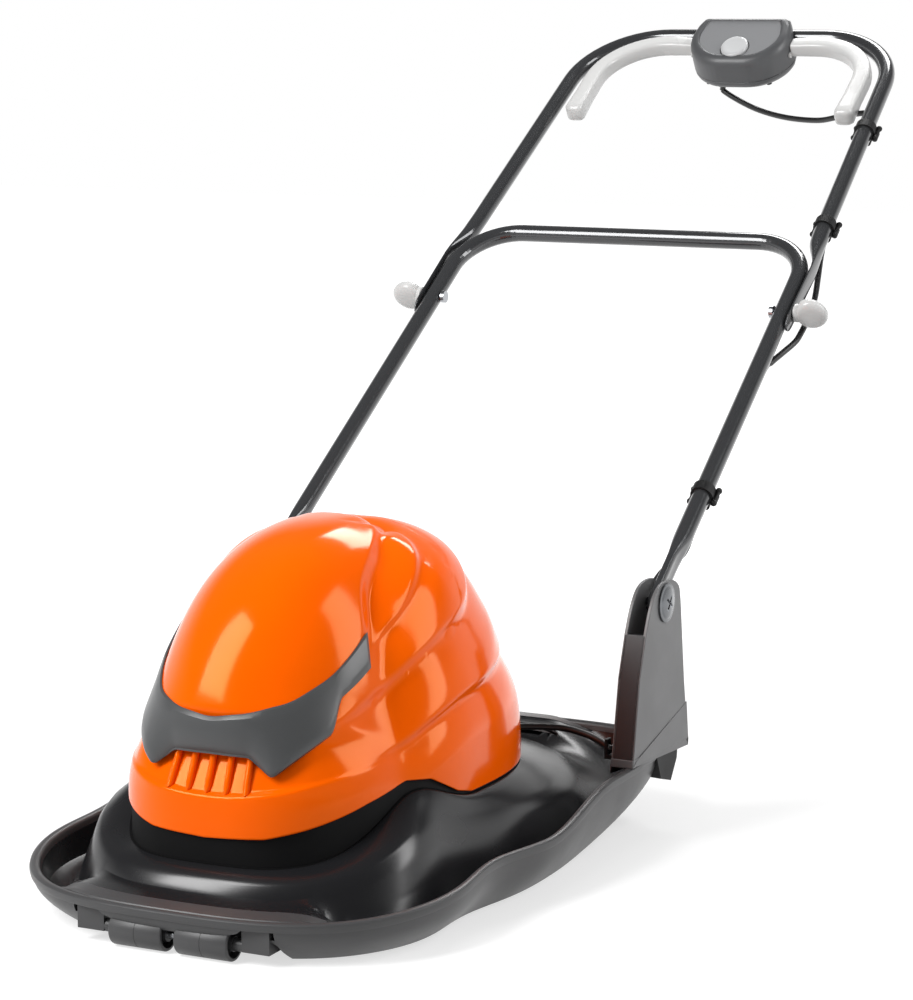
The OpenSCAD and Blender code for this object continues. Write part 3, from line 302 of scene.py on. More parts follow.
# The same moulding under the cover, left rough: dull near black with weak reflection, as painted shade of
# the recess under the cover
painted_shade_black_pp = surface("polypropylene_black_painted_shade", "#070708", "#050506", 0.7, 0.05, 1.6, 0.05,
                  Specular_IOR_Level=0.15)
# Moulded ABS, satin tool: dark grey that takes no sharp reflection
visor_abs = surface("abs_satin_grey", "#4A4B4C", "#434445", 0.32, 0.04, 1.3, 0.03)
# Moulded ABS, fine satin: the mid grey of the switch box, and the lighter grey of its face
box_abs = surface("abs_satin_mid_grey", "#525355", "#4B4C4E", 0.38, 0.05, 1.3, 0.03)
face_abs = surface("abs_satin_light_grey", "#808183", "#797A7C", 0.4, 0.05, 1.3, 0.03)
# Moulded ABS, polished: the off-white of levers and knobs, with soft highlights
white_abs = surface("abs_polished_off_white", "#D0D0CF", "#C8C8C7", 0.24, 0.05, 22.0, 0.04)
# Moulded ABS, satin: the pale grey of the lock button
button_abs = surface("abs_satin_pale_grey", "#C2C3C4", "#BABBBC", 0.34, 0.05, 1.3, 0.03)
# Lacquered steel tube: graphite under a clear coat, with long streaks of light
tube_lacquer = surface("steel_tube_graphite_lacquer", "#434446", "#3C3D3F", 0.18, 0.03, 8.0, 0.01,
                       Metallic=0.35, Coat_Weight=0.7, Coat_Roughness=0.06)
# Moulded black rubber: matt, with a bloom of dust
rubber = surface("rubber_matt_black", "#0E0E0F", "#141415", 0.55, 0.08, 1.2, 0.04, Specular_IOR_Level=0.3)
# Extruded PVC sheath: black with a soft line of light along it
pvc = surface("pvc_sheath_black", "#141415", "#1A1A1B", 0.36, 0.05, 4.0, 0.02)
# Zinc plated steel: bright, with a blurred reflection
zinc = surface("steel_zinc_plated", "#B7B9BC", "#A8AAAE", 0.3, 0.06, 2.0, 0.02, Metallic=1.0)
# Pressed and polished steel caps: darker, with a sharp reflection
cap_steel = surface("steel_domed_polished", "#6E7073", "#5E6063", 0.17, 0.05, 3.0, 0.03, Metallic=1.0)
# Ground steel blade: pale and brushed looking
blade_steel = surface("steel_blade_ground", "#9FA1A4", "#8C8E90", 0.38, 0.08, 1.5, 0.03, Metallic=1.0)
# Enamelled copper winding: brown red and coarse
copper = surface("copper_winding_enamelled", "#A7632F", "#8F5226", 0.34, 0.06, 1.2, 0.12, Metallic=0.8)
# Sintered carbon: dull black
carbon = surface("carbon_brush_sintered", "#1E1E1F", "#262627", 0.7, 0.05, 0.8, 0.05)
# Moulded nylon: black with a soft sheen
nylon = surface("nylon_moulded_black", "#222325", "#1B1C1E", 0.4, 0.06, 1.4, 0.03)
# Black oxidised screws: dark and dry
black_steel = surface("steel_screw_black_oxide", "#2A2A2C", "#222224", 0.45, 0.06, 1.5, 0.02, Metallic=0.6)

# Solids that are shown as they come from the CAD
node_finish = {
    "axle_blocks": charcoal_pp, "front_axle": zinc, "bracket_screws": zinc, "bracket_heels": rubber,
    "cover_screws": zinc, "cable_grommet": rubber, "lead_hook": rubber, "motor_plate": nylon,
    "plate_screws": zinc, "motor_can": zinc, "motor_end_cap": nylon, "brushes": carbon,
    "motor_bearings": zinc, "spindle_bearings": zinc, "drive_belt": rubber, "terminal_block": nylon,
    "pivot_nuts": zinc, "motor_shaft": zinc, "armature": copper, "cooling_fan": nylon, "motor_pulley": zinc,
    "spindle": zinc, "driven_pulley": nylon, "impeller": nylon, "blade_spacers": nylon, "blade": blade_steel,
    "blade_washer": zinc, "blade_bolt": zinc, "clamp_bolts": zinc, "lower_clip": rubber,
    "upper_clips": rubber, "micro_switch": nylon, "mains_inlet": rubber, "lead_gland": rubber,
    "button_spring": zinc,
}
for name, finish in node_finish.items():
    nodes[name].data.materials.clear()
    nodes[name].data.materials.append(finish)
for name, width in (("axle_blocks", 1.4), ("bracket_heels", 1.5), ("mains_inlet", 0.8), ("lead_hook", 0.6)):
    soften(nodes[name], width)


# Cover: two egg forms, with swept ridges along each side
def oval_r(th, side, front, rear, p):
    b = np.where(np.cos(th) > 0, front, rear)
    return (np.abs(np.sin(th) / side)**p + np.abs(np.cos(th) / b)**p)**(-1 / p)


def egg_r(th, ph, side, front, rear, h, p, q):
    return ((np.cos(ph) / oval_r(th, side, front, rear, p))**q + (np.sin(ph) / h)**q)**(-1 / q)


def lobe_r(th, ph):
    d = np.degrees(ph)
    return egg_r(th, ph, 140 - 10 * smooth(10, 50, d), 242, 80, 268, 3 - 0.7 * smooth(8, 36, d), 2.42)


def body_r(th, ph):
    w, d = turn(th), np.degrees(ph)
    shoulder = 10 * smooth(46, 64, d) * (1 - smooth(74, 87, d)) * smooth(60, 95, w)
    return egg_r(th, ph, 161, 162, 226, 252, 2.5 - 0.45 * smooth(14, 40, d), 2.6) + shoulder


def plain_cover_r(th, ph):
    lobe, body = lobe_r(th, ph), body_r(th, ph)
    return (lobe + body + np.sqrt((lobe - body)**2 + 30)) / 2


# Height of the cover's lower edge in millimetres, by degrees of turn from the front
EDGE_RISE = [(0, 7), (14, 10), (23, 18), (38, 33), (52, 43), (62, 40), (75, 22), (84, 16), (100, 15),
             (125, 13), (180, 11)]
# Lines along the cover as (turn from the front, rise) in degrees
VISOR_LOW = [(0, 19.7), (9.8, 19.5), (15.3, 15.4), (29.2, 26.4), (30.2, 30), (31.2, 34.6), (41.6, 43.2),
             (60, 58)]
VISOR_TOP = [(0, 26.9), (9.5, 28.3), (18.5, 31.5), (28.4, 38.7), (36, 46), (41.4, 51.2), (60, 60)]
VISOR_END = 42.4
LOBE_EDGE = [(24, 35), (31, 41), (38, 47), (41, 52), (42.5, 60), (46, 65), (54, 70), (68, 75), (90, 79),
             (120, 82)]
RIDGE_1 = [(24, 31), (34, 41), (45, 50), (51, 53.8), (59, 57), (70, 61.3), (82, 65.6), (95, 69.8), (106, 73),
           (111, 76), (104, 79), (86, 81.5), (72, 82.5)]
RIDGE_2 = [(14, 19), (24, 25), (33, 30.8), (45, 39.4), (61, 46.5), (82, 52), (108, 55), (130, 59), (150, 66),
           (166, 73), (190, 76)]
RIDGE_3 = [(36, 19), (46, 23), (56, 27), (65, 30.7), (79, 34.8), (92, 36.4), (111, 37), (129, 36),
           (160, 35), (190, 35)]
BAND_TOP = [(0, 10.5), (8, 10.8), (18, 12.2), (30, 15.4), (45, 20), (60, 24)]
# Each ridge: its line, its depth, how far the hollow below it runs, and where it begins and is full
RIDGES = [(RIDGE_1, 6.0, 13.0, 40, 54), (RIDGE_2, 8.5, 17.0, 22, 44), (RIDGE_3, 7.0, 14.0, 38, 62)]
# Softness of a ridge's crest and of the fall below it, in degrees
CREST, FALL = 0.25, 0.8
COVER_COLUMNS, COVER_ROWS, INNER_ROWS, COVER_TOP = 600, 190, 14, 88.6


def turn(th):
    return np.abs((np.degrees(th) + 180) % 360 - 180)


def edge_ph(th):
    return np.degrees(np.arcsin(lookup(turn(th), EDGE_RISE) / plain_cover_r(th, 0 * th)))


def below(line, w, d):
    """Distance in degrees past a line on the cover, above 0 on the lower side of it."""
    path = np.array(spline(line, 10))
    scale = np.cos(np.radians(d))[..., None]
    du, dv = (w[..., None] - path[:, 0]) * scale, d[..., None] - path[:, 1]
    near = np.argmin(du**2 + dv**2, -1)
    way = np.gradient(path, axis=0)[near]
    du, dv = (w - path[near, 0]) * scale[..., 0], d - path[near, 1]
    run = way[..., 0] * scale[..., 0]
    return (way[..., 1] * du - run * dv) / np.hypot(run, way[..., 1])


def cover_r(th, ph):
    """Cover's radius with its lobe edge, its ridges and its recessed vent."""
    w, d = np.broadcast_arrays(turn(th), np.degrees(ph))
    body = body_r(th, ph)
    past = below(LOBE_EDGE, w, d)
    behind = smooth(-0.6, 2.6, past) * smooth(36, 42, w) * smooth(45, 60, d) * (1 - smooth(78, 84, d))
    r = plain_cover_r(th, ph)
    r = r + (body - r) * behind - 4 * behind * np.exp(-np.maximum(past, 0) / 6)
    for line, depth, length, first, full in RIDGES:
        past = below(line, w, d)
        fade = smooth(first, full, w) * (1 - smooth(78, 85, d))
        inside = np.logaddexp(0, past / CREST) * CREST
        r = r - depth * fade * (1 - np.exp(-inside / FALL)) * np.clip(1 - inside / length, 0, 1)**1.5
    rise = d - eased(w, BAND_TOP, 4)
    shelf = (0.22 * smooth(0, 1.2, rise) + 0.78 * np.clip(rise / 9, 0, 1)) * (1 - smooth(23, 29, d))
    return r - (12 * (1 - smooth(14, 25, w)) + 6 * (1 - smooth(24, 52, w))) * shelf


def cover_points(th, ph, out=0.0, radius=cover_r):
    r = radius(th, ph) + out
    x, y = r * np.cos(ph) * np.sin(th), COVER_Y - r * np.cos(ph) * np.cos(th)
    return np.stack([x, y, COVER_Z + r * np.sin(ph)], -1)


def make_cover():
    """Orange shell: an outer and an inner skin joined by a rounded lip."""
    count = COVER_COLUMNS
    th = np.linspace(0, 2 * math.pi, count, endpoint=False)
    low = edge_ph(th)
    rows = [low + (COVER_TOP - low) * k / COVER_ROWS for k in range(COVER_ROWS + 1)]
    outer = [cover_points(th, np.radians(row)) for row in rows]
    lip = [cover_points(th, np.radians(low), -0.7)]
    lip.append(cover_points(th, np.radians(low + 0.25), -COVER_WALL + 0.4))
    outer[0] = cover_points(th, np.radians(low + 0.25), 0)
    rows = [low + (COVER_TOP - low) * k / INNER_ROWS for k in range(1, INNER_ROWS + 1)]
    inner = [cover_points(th, np.radians(row), -COVER_WALL) for row in rows]
    rings = inner[::-1] + lip[::-1] + outer
    count_rows = len(rings)
    faces = strip_faces(count_rows, count)
    verts = np.concatenate(rings)
    top = len(verts)
    apex = outer[-1].mean(0)
    verts = np.concatenate([verts, [apex, inner[-1].mean(0)]])
    last = (count_rows - 1) * count
    for i in range(count):
        j = (i + 1) % count
        faces.append((last + i, last + j, top))
        faces.append((j, i, top + 1))
    piece("motor_cover", verts, faces, orange_abs, "hood_body", ["cover"], sharp=70)


make_cover()


def make_visor():
    """Trim over the cover's front, with a chamfered border."""
    count = 172
    deg = np.linspace(-VISOR_END, VISOR_END, count)
    th = np.radians(deg)
    low, top = eased(deg, VISOR_LOW, 0.8), eased(deg, VISOR_TOP, 2)
    shares = [0, 0.04, 0.14, 0.24, 0.36, 0.5, 0.64, 0.76, 0.86, 0.96, 1]
    grid = []
    for k in shares:
        ph = low + (top - low) * k
        rim = np.minimum(np.minimum(k, 1 - k) * (top - low) * 4.3, (VISOR_END - np.abs(deg)) * 4.0)
        tuck = 9 * (1 - smooth(10, 19, np.abs(deg))) * (1 - k)**2
        out = 1.0 + 2.2 * np.clip(rim / 4, 0, 1) + 0.6 * np.sin(math.pi * k) - tuck
        grid.append(cover_points(th, np.radians(ph), out, plain_cover_r))
    back = [cover_points(th, np.radians(low + (top - low) * k), -6.0, plain_cover_r) for k in (1, 0)]
    rings = np.stack(grid + back, 1)
    loop = rings.shape[1]
    faces = strip_faces(count, loop)
    faces += [tuple(range(loop))[::-1], tuple((count - 1) * loop + i for i in range(loop))]
    verts = rings.reshape(-1, 3)
    piece("visor_trim", verts, faces, visor_abs, "hood_body", ["visor"], sharp=20)


make_visor()


# Sections along a fin: rise in degrees, half width and height above the shelf
FIN_SECTIONS = [(11.3, 0.8, 0.6), (11.5, 2.0, 2.2), (12.0, 2.9, 3.6), (13, 3.3, 4.6), (15.5, 3.4, 5.4),
                (18, 3.4, 6.2), (22, 3.2, 6.6)]
FIN_R = 3.4


def make_fins():
    """Rounded rods that lie on the shelf and run up under the visor."""
    build = Build()
    for deg in (-9.6, -4.8, 0, 4.8, 9.6):
        rings = []
        for d, half, proud in FIN_SECTIONS:
            base = float(cover_r(np.radians(deg), np.radians(d)))
            sunk = base - plain_cover_r(np.radians(deg), np.radians(d))
            section = []
            for a in np.linspace(0, 2 * math.pi, 14, endpoint=False):
                shift = math.degrees(half * math.cos(a) / base)
                out = sunk + proud - FIN_R + FIN_R * math.sin(a)
                section.append(cover_points(np.radians(deg + shift), np.radians(d), out, plain_cover_r))
            rings.append(np.array(section))
        build.rings(rings)
    piece("vent_fins_rounded", build.verts, build.faces, orange_abs, "hood_body", ["vent_fins"],
          sharp=60)


make_fins()


# Hood: rings from the foot of the skirt over the rim, the gully and the dome
def rim_z(y):
    return RIM_FRONT + (RIM_MID - RIM_FRONT) * smooth(0, 240, y) + (RIM_REAR - RIM_MID) * smooth(300, 450, y)


def front_pad(x, y):
    """1 on the sloping strip over the rollers, falling to 0 round it."""
    return (1 - smooth(96, 176, np.abs(x))) * (1 - smooth(40, 74, y))


def gully_z(x, y):
    """Floor of the gully, raised over the rollers and filled behind the cover."""
    plain = GULLY_Z + 0.4 * (rim_z(y) - RIM_FRONT) + 16 * smooth(420, 560, y)
    rear = 34 * (1 - smooth(70, 190, np.abs(x))) * smooth(540, 625, y)
    return plain + (ARCH_TOP + HOOD_WALL - GULLY_Z) * front_pad(x, y) + rear


# Top of the dome where it meets the cover's seat, by turn: it swells up under the arch at each side
DOME_FRONT = 68
DOME_TOP = [(0, DOME_FRONT), (18, DOME_FRONT), (28, 73), (38, 90), (47, 110), (56, 122), (64, 116),
            (74, 105), (84, 99), (100, 98), (125, 96), (180, 94)]
SKIRT_FOOT, SKIRT_LIP, MIX_INSET = (37, 32, 72), 2.2, 56
# A ring: kind, insets at side, front and rear, exponents at front and rear, height rule, height
RIM_RISE = [(1.0, -8.6), (0.7, -8.2), (0.2, -6), (0, -4), (0.5, -1.9), (2, -0.5), (4, 0), (6.4, -0.3),
            (8.2, -1.6), (9.4, -4), (10.4, -8)]
RIM_RINGS = [("rim", inset, inset, inset, 2.9, 6, "rim", height) for inset, height in RIM_RISE]


def foot_ring(inset, rule, height):
    """Ring along the cover's foot, drawn in by inset."""
    return ("cover", inset, 0, 0, 0, 0, rule, height)


# Dome rings; "swell" adds a share of the dome's swell to a height, and "mid" leads up from the gully to it
DOME_RINGS = [
    ("rim", 13, 13, 13, 2.9, 6, "gully", 5), ("rim", 15, 15, 15, 2.9, 5.5, "gully", 1.4),
    ("rim", 18, 18, 18, 2.9, 5, "gully", 0), ("rim", 26, 26, 29, 2.85, 4.5, "gully", -0.3),
    ("rim", 34, 33, 40, 2.8, 4, "gully", 0.6), ("rim", 38, 37, 46, 2.75, 3.8, "mid", (0.16, 0.05)),
    ("rim", 42, 42, 54, 2.7, 3.4, "mid", (0.52, 0.18)), ("rim", 46, 47, 62, 2.6, 3, "mid", (0.86, 0.4)),
    ("rim", 51, 51, 68, 2.6, 2.8, "swell", (58, 0.56)), ("rim", 56, 55, 74, 2.6, 2.6, "swell", (61.5, 0.64)),
    ("mix", 0.3, 55, 74, 2.6, 2.6, "swell", (64, 0.72)),
    ("mix", 0.65, 55, 74, 2.6, 2.6, "swell", (66.4, 0.86)),
    foot_ring(-2, "swell", (67.6, 0.97)), foot_ring(0.6, "swell", (68, 1.0)),
]
# Seat rings run in under the cover and back along the underside
SEAT_RINGS = [
    foot_ring(3.4, "swell", (68.6, 1.0)), foot_ring(3.4, "edge", 2), foot_ring(9, "edge", 2),
    foot_ring(14, "floor", LEDGE_Z), foot_ring(30, "floor", LEDGE_Z),
    foot_ring(30, "floor", LEDGE_Z - HOOD_WALL), foot_ring(8, "floor", LEDGE_Z - HOOD_WALL),
    foot_ring(7, "floor", STEP_H + 3),
    ("rim", 60, 59, 78, 2.6, 2.6, "floor", STEP_H - HOOD_WALL), ("rim", 50, 52, 66, 2.6, 3, "floor", 49.5),
    ("rim", 40, 40, 46, 2.8, 4, "gully", -2.5), ("rim", 30, 28, 44, 2.9, 4, "gully", -3.5),
    ("rim", 41, 36, 76, 2.9, 3.4, "floor", 0),
]


def skirt_ring(share):
    """Ring of the skirt's outer face, from the foot at share 1 up to the lip at share 0."""
    draw = share**1.7
    inset = [SKIRT_LIP + (foot - SKIRT_LIP) * draw for foot in SKIRT_FOOT]
    return ("rim", *inset, 2.9, 6 - 2.6 * draw, "skirt", 1 - share)


def hood_points(ring, th):
    """Points of a ring: it follows the rim, the cover's foot or a mix, and a rule sets its height."""
    kind, side, front, rear, p_front, p_rear, rule, height = ring
    foot = plain_cover_r(th, 0 * th)
    if kind == "cover":
        r = foot - side
    else:
        p = np.where(np.cos(th) > 0, p_front, p_rear)
        half = HOOD_W / 2 - (side if kind == "rim" else MIX_INSET)
        ahead, behind = COVER_Y + OVERHANG - front, HOOD_LEN - COVER_Y - OVERHANG - rear
        r = oval_r(th, half, ahead, behind, p)
        if kind == "mix":
            r = r + (foot + 2 - r) * side
    y = COVER_Y - r * np.cos(th)
    share = {"rim": 1.0, "cover": 0.0, "mix": 1.0 - side}[kind]
    x = r * np.sin(th) * (1 - 0.08 * share * np.exp(-((y - 218) / 70)**2))
    swell = eased(turn(th), DOME_TOP, 5) - DOME_FRONT
    if rule == "rim":
        z = rim_z(y) + height
    elif rule == "gully":
        z = gully_z(x, y) + height
    elif rule == "mid":
        z = gully_z(x, y) * (1 - height[0]) + 53 * height[0] + swell * height[1]
    elif rule == "skirt":
        z = (rim_z(y) - 9) * height
    elif rule == "swell":
        z = height[0] + swell * height[1]
    elif rule == "edge":
        r = r - 0.04 * lookup(turn(th), EDGE_RISE)
        x, y = r * np.sin(th), COVER_Y - r * np.cos(th)
        z = COVER_Z + lookup(turn(th), EDGE_RISE) + height
    else:
        z = np.full(len(th), float(height))
    # A sloping strip takes the gully's place along the front
    if rule == "mid" or (rule == "gully" and height > -1) or (rule == "rim" and front > 9):
        z = z + (RIM_FRONT + 0.16 * (front - 10) - z) * front_pad(x, y)
    return np.stack([x, y, z], 1)


def make_hood():
    """One moulding with three finishes: grained skirt and rim, polished dome, and the seat under the cover
    in dull near black as painted shade.
    """
    count = 288
    th = np.linspace(0, 2 * math.pi, count, endpoint=False)
    skirt = [skirt_ring(share) for share in (1, 0.97, 0.9, 0.8, 0.7, 0.6, 0.5, 0.4, 0.3, 0.2, 0.1, 0)]
    plan = skirt + RIM_RINGS + DOME_RINGS + SEAT_RINGS
    rings = [hood_points(ring, th) for ring in plan]
    faces = strip_faces(len(rings), count, close=True)
    obj = piece("hood_shell", np.concatenate(rings), faces, charcoal_pp, "hood_body", ["hood"],
                sharp=32)
    obj.data.materials.append(black_pp)
    # Third finish: near black as painted shade under the cover
    obj.data.materials.append(painted_shade_black_pp)
    first_dome = (len(skirt) + len(RIM_RINGS) - 1) * count
    first_seat = first_dome + len(DOME_RINGS) * count
    first_under = first_seat + 4 * count
    last_strip = first_dome + 4 * count
    for face in obj.data.polygons:
        x, y = face.center[0] / MM, face.center[1] / MM + Y_MID
        if first_dome <= face.index < last_strip and front_pad(x, y) > 0.5:
            face.material_index = 0
        elif first_dome <= face.index < first_seat:
            face.material_index = 1
        elif first_seat <= face.index < first_under:
            face.material_index = 2
    return obj


hood = make_hood()


def cut_arch(obj):
    """Opens the skirt over the rollers with an arch-ended block, as the moulding has it."""
    build = Build()
    low, flat = -5.0, 97.0
    end = [(flat + 29 * math.sin(a), 26 - 34 * (1 - math.cos(a))) for a in np.linspace(0, 1.45, 9)]
    arch = end + [(-x, z) for x, z in end[::-1]]
    reach = end[-1][0]
    rings = []
    for y in (-22.0, 62.0):
        outline = [(x, y, max(z, low)) for x, z in arch]
        rings.append(np.array(outline + [(-reach, y, low - 1), (reach, y, low - 1)]))
    build.rings(rings)
    build.box((-103.5, 103.5), (-6, 50), (low - 2, ARCH_TOP))
    co = (np.asarray(build.verts) - np.array([0, Y_MID, 0])) * MM
    mesh = bpy.data.meshes.new("arch_block")
    mesh.from_pydata([tuple(v) for v in co], [], build.faces)
    bm = bmesh.new()
    bm.from_mesh(mesh)
    bmesh.ops.recalc_face_normals(bm, faces=bm.faces)
    bm.to_mesh(mesh)
    bm.free()
    block = bpy.data.objects.new("arch_block", mesh)
    bpy.context.scene.collection.objects.link(block)
    cut = obj.modifiers.new("arch", "BOOLEAN")
    cut.operation = "DIFFERENCE"
    cut.object = block
    cut.solver = "EXACT"
    cut.use_self = True
    with bpy.context.temp_override(object=obj, active_object=obj, selected_objects=[obj]):
        bpy.ops.object.modifier_apply(modifier="arch")
    bpy.data.objects.remove(block)


cut_arch(hood)


# Front rollers with a parting line round the middle
def make_roller(name, sign):
    build = Build()
    x0, length, r = 6.5, 55.0, 16.0
    mid = x0 + length / 2
    end = [(x0 + 9, 4.05), (x0, 4.05), (x0, 7), (x0 + 8, 7.4), (x0 + 8, 12.6), (x0, 13), (x0, 14.6),
           (x0 + 0.5, 15.5), (x0 + 1.6, r)]
    groove = [(mid - 0.5, r), (mid - 0.25, r - 0.35), (mid + 0.25, r - 0.35), (mid + 0.5, r)]
    profile = end + groove + [(2 * mid - a, b) for a, b in end[::-1]]
    build.lathe((0, 6, 16), profile, sides=64, cap=False)
    if sign < 0:
        build = build.mirrored()
    piece(name + "_ribbed", build.verts, build.faces, charcoal_pp, name, [name],
          sharp=40)


make_roller("left_roller", -1)
make_roller("right_roller", 1)

# Handle brackets, as outlines in Y and Z about the pivot
PLATE_TOP = [(-51, -25), (-40, -3), (-27, 13), (-14, 20), (0, 22), (16, 21), (30, 16), (38, 8), (42, -11)]
PLATE = [(-83, BASE_DROP), (-66, -67)] + [tuple(p) for p in spline(PLATE_TOP, 4)]
PLATE += [(53, -91), (65, BASE_DROP)]
WEB = [(-83, BASE_DROP), (-66, -67), (-51, -25), (-47, -25), (-62, -67), (-79, BASE_DROP)]
FLASH = [(-82, BASE_DROP), (65.6, BASE_DROP), (60, BASE_DROP + 40), (-74, BASE_DROP + 6)]


def make_bracket(name, sign):
    """Two plates on a base, with a web between them at the front in near black as painted shade of the slot
    between the plates.
    """
    build = Build()
    build.prism(PLATE, BRACKET_OUT - BRACKET_WALL, BRACKET_OUT)
    build.prism(PLATE, BRACKET_IN, BRACKET_IN + BRACKET_WALL)
    build.box((BRACKET_IN, BRACKET_OUT), (-83, 65), (BASE_DROP, BASE_DROP + 8))
    first = len(build.faces)
    build.prism(WEB, BRACKET_IN + 0.6, BRACKET_OUT - 0.6)
    painted_shade_web = range(first, len(build.faces))
    build.box((PIVOT_X - 6, BRACKET_OUT - 1), (17, 21), (BASE_DROP, -2.2))
    build.prism(FLASH, BRACKET_OUT - 1, BRACKET_OUT + 0.5)
    if sign < 0:
        build = build.mirrored()
    # The brackets take the lighter copy of the charcoal, as painted light
    obj = piece(name + "_moulding", build.verts, build.faces, charcoal_pp_painted_light, "hood_body", [name],
                bevel=0.9, place=pivot_places)
    # Near-black nylon on the web is painted shade of the slot between the plates
    obj.data.materials.append(nylon)
    for i in painted_shade_web:
        obj.data.polygons[i].material_index = 1


make_bracket("left_bracket", -1)
make_bracket("right_bracket", 1)


def make_caps():
    """Domed caps of the pivot bolts, with a cross recess, and the bolts themselves."""
    build = Build()
    sides, rings = 96, []
    a = np.linspace(0, 2 * math.pi, sides, endpoint=False)
    for r in (20, 20, 19.6, 18.6, 17, 16.6, 15.5, 14, 12, 10, 8.5, 7, 5.6, 4.4, 3.3, 2.2, 1.1):
        dome = 1.5 + 3.4 * (1 - (r / 21)**2) - 0.5 * math.exp(-((r - 16.8) / 0.6)**2)
        across = np.minimum(np.abs(r * np.cos(a + 0.6)), np.abs(r * np.sin(a + 0.6)))
        cross = 2.2 * (1 - smooth(0.7, 1.5, across)) * (1 - smooth(6.5, 8.2, np.full(sides, float(r))))
        high = np.full(sides, 0.0 if not rings else dome) - (cross if rings else 0)
        rings.append(np.column_stack([BRACKET_OUT + np.maximum(high, 0), r * np.cos(a), r * np.sin(a)]))
    build.rings(rings)
    build.lathe((0, 0, 0), [(BRACKET_IN - 7, 4), (BRACKET_OUT, 4)], sides=24)
    build.with_mirror()
    piece("pivot_caps", build.verts, build.faces, cap_steel, "hood_body", ["pivot_bolts"],
          sharp=45, place=pivot_places)


make_caps()


# Handle tubes
def u_path(start_s, start_x, end_s, end_x, bend):
    """Right leg, corner, bar, corner and left leg of a bent tube, as points in its own plane."""
    tilt = math.atan((start_x - end_x) / (end_s - start_s))
    tangent = bend * math.tan((math.pi / 2 - tilt) / 2)
    centre = np.array([end_x - tangent, end_s - bend])
    arc = [centre + bend * np.array([math.cos(a), math.sin(a)]) for a in np.linspace(tilt, math.pi / 2, 15)]
    start = np.array([start_x, start_s])
    leg = [start + (arc[0] - start) * k / 10 for k in range(10)]
    right = np.array(leg + arc)
    bar = np.array([[centre[0] * (1 - k / 3), end_s] for k in (1, 2, 3)])
    left = right[::-1] * np.array([-1, 1])
    path = np.concatenate([right, bar, bar[:2][::-1] * np.array([-1, 1]), left])
    return np.column_stack([path, np.zeros(len(path))])


def make_lower_tube():
    """Lower handle, round but for its flattened and creased ends at the pivots."""
    path = u_path(-13, PIVOT_X + 13 * TAPER, CROSS_S, CROSS_X, CROSS_BEND)
    step = [np.linspace(path[i], path[i + 1], 5, endpoint=False) for i in range(len(path) - 1)]
    path = np.concatenate(step + [path[-1:]])

    def section(i):
        s = path[i, 1]
        flat = 1 - float(smooth(58, 96, s)) if abs(path[i, 0]) > 190 else 0.0
        o = oval(TUBE_R - 5 * flat, TUBE_R + flat, 2 + 1.4 * flat)
        crease = 1.4 * flat * np.exp(-(o[:, 1] / 2.6)**2)
        o[:, 0] -= np.sign(o[:, 0]) * np.minimum(crease, np.abs(o[:, 0]))
        end = 1 - 0.5 * float(1 - smooth(-13, -4, s)) if flat > 0.9 else 1.0
        o[:, 1] *= end
        return o

    build = Build()
    build.sweep(path, section)
    piece("lower_handle_tube", build.verts, build.faces, tube_lacquer, "lower_handle", ["lower_tube"],
          sharp=50, place=lower_places)


make_lower_tube()


def make_upper_tube():
    """Upper handle, round but for the flat straps that the knobs clamp."""
    path = u_path(ROUND_S, UPPER_X, BAR_S, BAR_X, BAR_BEND)
    strap_mid = STRAP_X + STRAP_T / 2
    ends = []
    for s in (-29, -27, -23, -16, -8, 0, 20, 40, 60, 74, 84, 92, 100, 108, 116, 124, 132):
        share = float(smooth(72, 134, s))
        ends.append((strap_mid + (UPPER_X - strap_mid) * share, s, 0.0))
    body_path = path[np.where((path[:, 1] > 142) | (np.abs(path[:, 0]) < 150))[0]]
    ends = np.array(ends)
    path = np.concatenate([ends, body_path, ends[::-1] * np.array([-1, 1, 1])])
    last = len(path) - 1

    def section(i):
        s = path[i, 1]
        near_end = min(i, last - i) < len(ends)
        flat = 1 - float(smooth(72, 134, s)) if near_end else 0.0
        o = oval(TUBE_R - 8.5 * flat, TUBE_R, 2 + 0.6 * flat)
        if near_end and s < -14:
            o[:, 1] *= math.sqrt(max(0.05, 1 - ((-14 - s) / 15.2)**2))
        return o

    build = Build()
    build.sweep(path, section)
    piece("upper_handle_tube", build.verts, build.faces, tube_lacquer, "upper_handle", ["upper_tube"],
          sharp=50, place=upper_places)


make_upper_tube()


# Sections of a knob: distance along its axis, half width across the wing, half thickness, squareness
KNOB_SECTIONS = [(0, 9.4, 9.4, 2), (0.8, 10.4, 10.4, 2), (4.6, 10.4, 10.4, 2), (5.4, 9.8, 9.6, 2),
                 (6.5, 12.5, 9.4, 2.2), (8.5, 15.5, 9.2, 2.4), (12, 17.6, 9, 2.5), (17, 18.6, 8.8, 2.6),
                 (23, 18.2, 8.3, 2.6), (28.5, 16.2, 7.4, 2.5), (33, 12.8, 6.2, 2.4), (36.4, 8.4, 4.6, 2.2),
                 (38, 3.4, 2.4, 2)]


def make_knob(name, sign):
    """Wing knob on a clamp bolt: a round hub that widens into a wing."""
    build = Build()
    x0 = STRAP_X + STRAP_T + 0.3
    rings = []
    for x, half_n, half_s, power in KNOB_SECTIONS:
        o = oval(half_s, half_n, power, 36)
        rings.append(np.column_stack([np.full(36, x0 + x), KNOB_S + o[:, 0], o[:, 1]]))
    build.rings(rings)
    if sign < 0:
        build = build.mirrored()
    piece(name + "_wing", build.verts, build.faces, white_abs, name, [name], sharp=50,
          place=lower_places)


make_knob("left_knob", -1)
make_knob("right_knob", 1)


# Switch box: the lid and the base as stacked outlines about the button
BUTTON_S, BUTTON_R = -47.0, 17.5
BOX_HALF, BOX_NOSE, BOX_BACK, NOSE_R, REAR_HALF = 66.0, 74.0, 13.0, 52.0, 56.0
BOX_SIDES = 160


